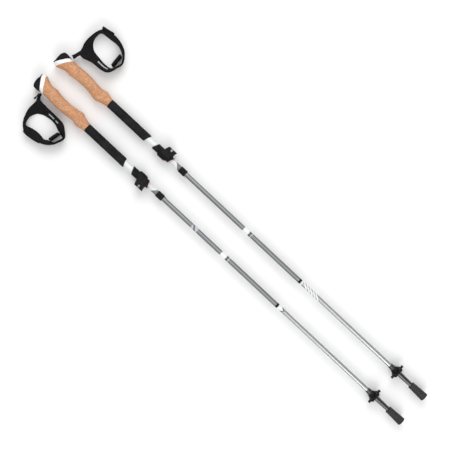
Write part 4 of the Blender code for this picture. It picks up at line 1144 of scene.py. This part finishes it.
class POLES_OT_tips(PoleOperator, bpy.types.Operator):
    """Build the flexible tips, their carbide points and the rubber feet"""
    bl_idname = "poles.tips"
    bl_label = "Tips and feet"

    def build(self, side):
        self.tip(side)
        self.point(side)
        self.foot(side)

    def tip(self, side):
        """The fluted tip with its trumpet-shaped socket."""
        top, low = ends(side, "flex_tip")
        basket_top, basket_low = ends(side, "basket")
        foot_top = ends(side, "rubber_foot")[0]
        shaft = reach(side, "lower_shaft") + GAP
        flute_depth = bpy.context.scene.pole_sizes.flute_depth
        narrow, seat = 5.5 * MM, 7.2 * MM
        start, stop = basket_low + 1.5 * MM, foot_top - 1.0 * MM
        profile = [(top, shaft), (top, shaft + 0.4 * MM), (top + 1.2 * MM, shaft + 0.7 * MM)]
        for i in range(7):
            t = i / 6
            profile.append((top + 2 * MM + (basket_top - top - 4.3 * MM) * t,
                            shaft + 0.8 * MM + (seat - shaft - 0.9 * MM) * t * t))
        profile += [(basket_top - 1.9 * MM, seat + 0.6 * MM),
                    (basket_top - GAP, seat + 0.7 * MM), (basket_top - GAP, seat),
                    (basket_low, seat),
                    (basket_low + MM, seat - 0.5 * MM)]
        rings = 24
        for i in range(rings + 1):
            t = i / rings
            profile.append((start + (stop - start) * t,
                            seat - 0.7 * MM + (narrow - seat + 0.7 * MM) * t))
        profile += [(foot_top, narrow), (low, narrow - 0.8 * MM), (low, 2.8 * MM),
                    (low - 13 * MM, 2.8 * MM), (low - 13 * MM, 3.0 * MM),
                    (top + 26 * MM, 3.0 * MM), (top + 26 * MM, shaft)]

        def fluted(x, r, angle):
            if not start < x < stop or r < 4 * MM:
                return r
            share = math.sin(math.pi * (x - start) / (stop - start)) ** 0.35
            return r - flute_depth * share * (0.5 - 0.5 * math.cos(8 * angle)) ** 2

        add_piece("tip_body", turned(profile, 96, fluted), side, "lower", "black_plastic",
                  ["flex_tip"], look="tip_plastic", bevel=0.12 * MM, sharp=50)

    def point(self, side):
        """The carbide point: a hollow-ground end with a toothed rim."""
        top, low = ends(side, "carbide_tip")
        start = ends(side, "flex_tip")[1]
        profile = [(low - 1.4 * MM, 0.0), (low - 1.0 * MM, 1.0 * MM), (low, 1.6 * MM),
                   (low - 0.6 * MM, 2.0 * MM), (low - 2.0 * MM, 2.2 * MM),
                   (start + 3.3 * MM, 2.2 * MM), (start + 3.2 * MM, 3.6 * MM),
                   (start + GAP, 3.6 * MM), (start + GAP, 2.5 * MM),
                   (top, 2.5 * MM), (top, 0.0)]

        def toothed(x, r, angle):
            if x > low - 0.3 * MM:
                return r * (1.0 + 0.10 * math.cos(8 * angle))
            return r

        add_piece("carbide_point", turned(profile, 64, toothed), side, "lower", "carbide",
                  ["carbide_tip"])

    def foot(self, side):
        """The knurled rubber foot."""
        top, end = ends(side, "rubber_foot")
        radius, neck = reach(side, "rubber_foot"), 8.6 * MM
        tip = 5.8 * MM
        chamber, floor = 4.5 * MM, end - 7 * MM
        socket = top + 24 * MM
        rings = 70
        body_start, body_stop = top + 2.4 * MM, end - 2.6 * MM
        profile = [(end, 0.0), (end, radius * 0.45), (end - 0.7 * MM, radius * 0.5),
                   (end - 0.7 * MM, radius * 0.66), (end, radius * 0.71),
                   (end, radius - 1.6 * MM), (end - 0.25 * MM, radius - 0.8 * MM),
                   (end - 0.8 * MM, radius - 0.25 * MM), (end - 1.6 * MM, radius)]
        for i in range(rings + 1):
            t = i / rings
            profile.append((body_stop + (body_start - body_stop) * t,
                            radius - 0.1 * MM + (neck - radius) * t))
        profile += [(top + 2.0 * MM, neck + 0.35 * MM), (top + 0.6 * MM, neck + 0.35 * MM),
                    (top, neck - 0.3 * MM), (top, tip), (socket - 0.5 * MM, tip - 0.6 * MM),
                    (socket, chamber), (floor, chamber), (floor, 0.0)]

        def knurled(x, r, angle):
            if not body_start < x < body_stop or r < neck - MM:
                return r
            turn, climb = 18 * angle, x * 1500
            relief = math.sin(turn + climb) * math.sin(turn - climb)
            edge = min(1.0, (x - body_start) / (2 * MM), (body_stop - x) / (2 * MM))
            return r - 0.22 * MM + 0.22 * MM * relief * edge

        add_piece("foot", turned(profile, 144, knurled), side, "foot", "rubber", ["rubber_foot"])


class POLES_OT_baskets(PoleOperator, bpy.types.Operator):
    """Build the lobed baskets with their bead rims and hubs"""
    bl_idname = "poles.baskets"
    bl_label = "Baskets"

    def build(self, side):
        top, low = ends(side, "basket")
        seat = 7.5 * MM
        lobes, steps = 6, 216
        reach_out = 20.1 * MM

        def rim(angle):
            notch = (1.0 - math.cos(lobes * angle)) / 2
            return reach_out - 5.6 * MM * notch ** 3

        hub = [(low, seat), (low, seat + 1.2 * MM), (low - 0.6 * MM, seat + 1.6 * MM)]
        web_low, web_top = low - 7.0 * MM, low - 8.4 * MM
        shares = [0.0, 0.12, 0.3, 0.5, 0.68, 0.78]
        cup = -3.2 * MM
        rings = []
        for i in range(steps):
            angle = math.tau * i / steps
            edge = rim(angle)
            root = seat + 2.0 * MM
            lobe = (1.0 + math.cos(lobes * angle)) / 2
            thick, deep = (1.2 + 2.5 * lobe ** 1.5) * MM, (1.1 + 1.2 * lobe) * MM
            ring = list(hub)
            ring.append((low - 4.5 * MM, seat + 1.9 * MM))
            for share in shares:
                ring.append((web_low - cup * share ** 2, root + (edge - root - deep) * share))
            middle = (web_low + web_top) / 2 - cup
            for k in range(9):
                turn = math.radians(-60 + 300 * k / 8)
                ring.append((middle + thick * math.cos(turn),
                             edge - deep + deep * math.sin(turn)))
            for share in reversed(shares):
                ring.append((web_top - cup * share ** 2, root + (edge - root - deep) * share))
            ring += [(top + 4.5 * MM, seat + 2.6 * MM), (top + 2.2 * MM, seat + 1.5 * MM),
                     (top + 0.6 * MM, seat + 0.9 * MM), (top, seat + 0.5 * MM), (top, seat)]
            rings.append([(x, r * math.cos(angle), r * math.sin(angle)) for x, r in ring])
        add_piece("basket_body", lofted(rings, closed=True), side, "basket", "black_plastic",
                  ["basket"], sharp=60)


class POLES_OT_hand_straps(PoleOperator, bpy.types.Operator):
    """Build the padded bands, their bound edges, stitching, pale tapes, tongues and tails"""
    bl_idname = "poles.hand_straps"
    bl_label = "Hand straps"

    def build(self, side):
        stations = band_stations(side)
        band = add_piece("strap_band", strip(stations, band_section, True), side, "strap",
                         "black_webbing", ["hand_strap"], look="band", sharp=80)
        for name, edge in (("upper", 1), ("lower", -1)):
            def tape(station, _, edge=edge):
                return round_section(edge * (station.half - 2.0 * MM), 1.5 * MM, 1.35 * MM,
                                     14, power=2.6)

            add_piece(name + "_binding", strip(stations, tape, True), side, "strap",
                      "black_webbing", look="binding", sharp=80)
        self.stitches(side, stations)
        self.label(side, stations)
        self.pad(side)
        self.tail(side, stations)

    def stitches(self, side, stations):
        """Two rows of stitches on each face of the band."""
        rows = []
        for edge in (1, -1):
            for face in (1, -1):
                rows.append(stitch_row(
                    stations, lambda station, edge=edge: edge * (station.half - 4.6 * MM),
                    face * 1.75 * MM))
        whole = rows[0]
        for row in rows[1:]:
            mesh = bpy.data.meshes.new("row")
            row.to_mesh(mesh)
            row.free()
            whole.from_mesh(mesh)
            bpy.data.meshes.remove(mesh)
        add_piece("strap_stitching", whole, side, "strap", "black_webbing", look="thread",
                  sharp=80)

    def label(self, side, stations):
        """A pale woven tape along the inner arm, with no lettering on it."""
        spans = {"left": [(0.0745, 0.0932), (0.0973, 0.1064)],
                 "right": [(0.0730, 0.1045)]}[side]
        place_across = {"left": 2.0 * MM, "right": 0.0}[side]

        def flat(station, _):
            return round_section(place_across, 2.6 * MM, 0.35 * MM, 12, 2.15 * MM, 3.5)

        inner_arm = [station for station in stations[:len(stations) // 2]
                     if station.centre.y < 0.062]
        for number, (start, stop) in enumerate(spans):
            chosen = [station for station in inner_arm
                      if start <= station.centre.x - HANDLE_TOP <= stop]
            add_piece(f"pale_tape_{number}", strip(chosen, flat, False), side, "strap",
                      "black_webbing", look="label", sharp=60)

    def pad(self, side):
        """The padded tongue that crosses the loop's bend, with its bound rim."""
        low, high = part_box(side + "_strap_pad")
        sections = {"left": (12, 21), "right": (17, 26)}[side]
        coarse = band_stations(side, 2)
        radius = 3.25 * MM
        seats = []
        for station in (coarse[section] for section in sections):
            face = station.at(-station.half * 0.75, 2.0 * MM)
            seats.append(face.xy + station.thick_way.xy.normalized() * (radius + 0.7 * MM))
        run = (seats[1] - seats[0]).normalized()
        across = Vector((-run.y, run.x))
        ground, height = -pole_frame(side).translation.z, high.z - low.z
        rings = []
        count = 26
        for k in range(count + 1):
            up = k / count
            edge = min(1.0, 0.55 + 2.4 * min(up, 1.0 - up) ** 0.6)
            rim = 0.10 if min(up, 1.0 - up) < 0.10 else 0.0
            size = radius * min(1.0, edge - rim + 0.02)
            ring = []
            for end, way in ((seats[1], 1), (seats[0], -1)):
                for step in range(13):
                    turn = math.pi * (step / 12 - 0.5)
                    spot = end + way * size * (run * math.cos(turn) + across * math.sin(turn))
                    ring.append((spot.x, spot.y, ground + height * up))
            rings.append(ring)
        shape = lofted(rings)
        shape.verts.index_update()
        start = seats[0]
        add_run_map(shape, [((vert.co.xy - start).dot(run), vert.co.z)
                            for vert in shape.verts])
        piece = add_piece("tongue_pad", shape, side, "strap", "black_webbing", ["strap_pad"],
                          look="band", sharp=70)

    def tail(self, side, stations):
        """The folded-back tail, held with hook tape to the outer arm's outer face."""
        if side == "right":
            self.tab(stations)
            return
        rise, fold = 0.4 * MM, 0.2 * MM
        chosen = stations[int(12.6 * LOOP_STEPS):int(16.4 * LOOP_STEPS)]

        def folded(station, share):
            half = min(station.half, 15 * MM) - 3.0 * MM
            thick = 1.0 * MM + fold * share
            return round_section(0.0, half, thick, 24, -2.3 * MM - thick - rise * share ** 1.6,
                                 5.0)

        add_piece("strap_tail", strip(chosen, folded, False), side, "strap", "black_webbing",
                  look="hook_tape", bevel=0.3 * MM, sharp=60)


    def tab(self, stations):
        """The other strap's tail, folded double into a straight, stiff tab."""
        lean = stations[18 * LOOP_STEPS].width_way
        top = -pole_frame("right").translation.z + 28.0 * MM
        half = 12.5 * MM
        first = Vector((HANDLE_TOP + 0.032, 0.1225, top)) - lean * half
        last = Vector((HANDLE_TOP + 0.063, 0.1285, top)) - lean * half
        run = (last - first).normalized()
        way = (lean - run * lean.dot(run)).normalized()
        count = 10
        straight = [Station(first.lerp(last, i / count), half, way, way.cross(run), run,
                            (last - first).length * i / count) for i in range(count + 1)]

        def doubled(station, _):
            return round_section(0.0, half, 2.7 * MM, 24, 0.0, 5.0)

        add_piece("strap_tail", strip(straight, doubled, False), "right", "strap",
                  "black_webbing", look="hook_tape", bevel=0.5 * MM, sharp=60)


class POLES_OT_webbings(PoleOperator, bpy.types.Operator):
    """Build the webbings that hold the hand straps to the heads"""
    bl_idname = "poles.webbings"
    bl_label = "Webbings"

    def build(self, side):
        pin = pole_frame(side).inverted() @ sum(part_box(side + "_strap_pin"), Vector()) / 2
        corner = band_stations(side, 2)[0]
        edge = corner.at(corner.half, 0)
        inner = corner.at(-corner.half * 0.15, 2.6 * MM)
        slot_mouth = {"left": (0.0262, 0.0188), "right": (0.0244, 0.0205)}[side]
        half = 8.0 * MM
        upright = Vector((0, 0, 1))
        mouth = Vector((HANDLE_TOP + slot_mouth[0], slot_mouth[1], 0.0))
        rows = [((pin.x, pin.y + 2.9 * MM, 0.0), upright),
                (mouth, upright.lerp(corner.run, 0.5).normalized()),
                (mouth.lerp(edge, 0.55), upright.lerp(corner.run, 0.55).normalized())]
        rows += [(edge + corner.thick_way * 2.2 * MM, corner.run),
                 (corner.at(corner.half * 0.45, 2.9 * MM), corner.run), (inner, corner.run)]
        self.webbing(side, rows, half)

    def webbing(self, side, rows, half):
        """A tape through rows of a point and the way its width lies, narrowing past the head."""
        count = 8
        points = smooth_path([tuple(row[0]) for row in rows], False, count)
        leans = smooth_path([tuple(row[1]) for row in rows], False, count)
        rings, places = [], []
        along = 0.0
        for i, point in enumerate(points):
            run = (points[min(i + 1, len(points) - 1)] - points[max(i - 1, 0)]).normalized()
            width_way = (leans[i] - run * leans[i].dot(run)).normalized()
            thick_way = run.cross(width_way)
            share = i / (len(points) - 1)
            wide = half * (1.0 - 0.42 * min(1.0, max(0.0, (share - 0.15) / 0.35)))
            section = round_section(0.0, wide, 1.0 * MM, 24, 0.0, 5.0)
            rings.append([point + width_way * w + thick_way * t for w, t in section])
            places += [(along, w) for w, t in section]
            if i + 1 < len(points):
                along += (points[i + 1] - point).length
        shape = lofted(rings)
        shape.verts.index_update()
        add_run_map(shape, places)
        piece = add_piece("head_webbing", shape, side, None, "black_webbing", ["strap_webbing"],
                          look="webbing", sharp=60)
        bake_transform(piece)


class POLES_OT_carried_nodes(bpy.types.Operator):
    """Give every node that still shows its own finish"""
    bl_idname = "poles.carried_nodes"
    bl_label = "Carried-over nodes"
    bl_options = {"REGISTER", "UNDO"}

    def execute(self, context):
        slots = {"guide_bush": "black_plastic", "cable_anchor": "black_plastic",
                 "tension_cable": "coated_cable", "button_spring": "steel",
                 "strap_pin": "steel"}
        for side in SIDES:
            for node, name in slots.items():
                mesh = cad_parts[f"{side}_{node}"].data
                mesh.materials.clear()
                mesh.materials.append(finish(name))
        return {"FINISHED"}


class POLES_OT_stage(bpy.types.Operator):
    """Set the pale floor, the soft lights and the camera"""
    bl_idname = "poles.stage"
    bl_label = "Stage"
    bl_options = {"REGISTER", "UNDO"}

    def execute(self, context):
        self.floor()
        self.lights()
        self.camera(context)
        context.scene.view_settings.view_transform = "Standard"
        return {"FINISHED"}

    def floor(self):
        """The pale floor, just below the poles."""
        shape = bmesh.new()
        bmesh.ops.create_grid(shape, x_segments=1, y_segments=1, size=6.0)
        mesh = bpy.data.meshes.new("floor")
        shape.to_mesh(mesh)
        shape.free()
        mesh.materials.append(plain_finish("pale_floor", (0.86, 0.86, 0.86), 0.7))
        floor = bpy.data.objects.new("floor", mesh)
        floor.location.z = -GAP
        bpy.context.scene.collection.objects.link(floor)

    def lights(self):
        """An even pale surround and three large soft lights."""
        world = bpy.data.worlds.new("studio")
        world.use_nodes = True
        background = world.node_tree.nodes["Background"]
        background.inputs["Color"].default_value = (1.0, 1.0, 1.0, 1.0)
        background.inputs["Strength"].default_value = 0.52
        bpy.context.scene.world = world
        for name, place_at, size, power in (
                ("key", (-1.5, 1.8, 2.3), 2.4, 52.0), ("fill", (1.8, -1.6, 2.1), 2.4, 46.0),
                ("top", (0.0, 0.0, 3.3), 2.8, 22.0)):
            light = bpy.data.lights.new(name, "AREA")
            light.shape = "DISK"
            light.size = size
            light.energy = power
            lamp = bpy.data.objects.new(name, light)
            lamp.location = place_at
            lamp.rotation_euler = (-Vector(place_at)).to_track_quat("-Z", "Y").to_euler()
            bpy.context.scene.collection.objects.link(lamp)

    def camera(self, context):
        """The camera looks straight down, turned about the vertical."""
        sizes = context.scene.pole_sizes
        centres = [pole_frame(side).translation for side in SIDES]
        middle = (centres[0] + centres[1]) / 2
        camera = bpy.data.cameras.new("camera")
        camera.sensor_width = 36.0
        camera.lens = 36.0 * sizes.view_height / sizes.view_width
        viewer = bpy.data.objects.new("camera", camera)
        viewer.location = (CAD_BOX[1][0] - sizes.view_station, middle.y + sizes.view_side,
                           middle.z + sizes.view_height)
        viewer.rotation_euler = (0.0, 0.0, sizes.view_turn)
        context.scene.collection.objects.link(viewer)
        context.scene.camera = viewer


# Settings and the panel.

class PoleSizes(bpy.types.PropertyGroup):
    """Sizes that a user may change"""
    grip_roundness: FloatProperty(
        name="Grip roundness", description="Exponent of the grip's oval section", default=2.3,
        min=1.8, max=4.0)
    flute_depth: FloatProperty(
        name="Flute depth", description="Depth of the flutes on the flexible tip",
        default=0.35 * MM, unit="LENGTH", precision=5)
    view_height: FloatProperty(
        name="View height", description="Camera's height over the shafts", default=2.13,
        unit="LENGTH")
    view_width: FloatProperty(
        name="View width", description="Width of the view at the shafts", default=1.08,
        unit="LENGTH")
    view_station: FloatProperty(
        name="View station", description="Distance of the view's middle from the feet",
        default=0.632, unit="LENGTH")
    view_side: FloatProperty(
        name="View side", description="The view's middle, from the middle of the two poles",
        default=0.0154, unit="LENGTH")
    view_turn: FloatProperty(
        name="View turn", description="Camera's turn about the vertical",
        default=math.radians(43.1), unit="ROTATION")


def colour_property(name, description, default):
    """A colour that a user may change."""
    return FloatVectorProperty(name=name, description=description, subtype="COLOR", size=3,
                               default=default, min=0.0, max=1.0)


class PoleColours(bpy.types.PropertyGroup):
    """Colours that a user may change"""
    cork: colour_property("Cork", "Middle tone of the cork", (0.60, 0.325, 0.185))
    foam: colour_property("Foam", "Foam grip", (0.012, 0.012, 0.013))
    rubber: colour_property("Rubber", "Rubber feet", (0.030, 0.030, 0.032))
    plastic: colour_property("Plastic", "Moulded black plastic", (0.006, 0.006, 0.0065))
    cap: colour_property("Cap", "Moulded white head cap", (0.82, 0.82, 0.80))
    lacquer: colour_property("Lacquer", "White lacquer on the upper tubes", (0.70, 0.73, 0.72))
    silver: colour_property("Silver", "Lower shafts", (0.47, 0.49, 0.48))
    grey: colour_property("Grey", "Middle shafts", (0.27, 0.28, 0.28))
    fabric: colour_property("Fabric", "Hand straps", (0.010, 0.010, 0.011))


STEPS = ("cork_grips", "heads", "foam_sleeves", "tubes", "joints", "clamps", "tips", "baskets",
         "hand_straps", "webbings", "carried_nodes", "stage")


class POLES_PT_panel(bpy.types.Panel):
    """Lists the pieces that this file builds"""
    bl_idname = "POLES_PT_panel"
    bl_label = "Trekking poles"
    bl_space_type = "VIEW_3D"
    bl_region_type = "UI"
    bl_category = "Poles"

    def draw(self, context):
        layout = self.layout
        for step in STEPS:
            layout.operator("poles." + step)
        for group in (context.scene.pole_sizes, context.scene.pole_colours):
            box = layout.box()
            for name in group.bl_rna.properties.keys():
                if name not in ("rna_type", "name"):
                    box.prop(group, name)


CLASSES = (PoleSizes, PoleColours, POLES_OT_cork_grips, POLES_OT_heads,
           POLES_OT_foam_sleeves, POLES_OT_tubes, POLES_OT_joints, POLES_OT_clamps,
           POLES_OT_tips, POLES_OT_baskets, POLES_OT_hand_straps, POLES_OT_webbings,
           POLES_OT_carried_nodes, POLES_OT_stage, POLES_PT_panel)


def register():
    for item in CLASSES:
        bpy.utils.register_class(item)
    bpy.types.Scene.pole_sizes = PointerProperty(type=PoleSizes)
    bpy.types.Scene.pole_colours = PointerProperty(type=PoleColours)


def unregister():
    del bpy.types.Scene.pole_colours
    del bpy.types.Scene.pole_sizes
    for item in reversed(CLASSES):
        bpy.utils.unregister_class(item)


def main():
    register()
    for step in STEPS:
        getattr(bpy.ops.poles, step)()


if __name__ == "__main__":
    main()
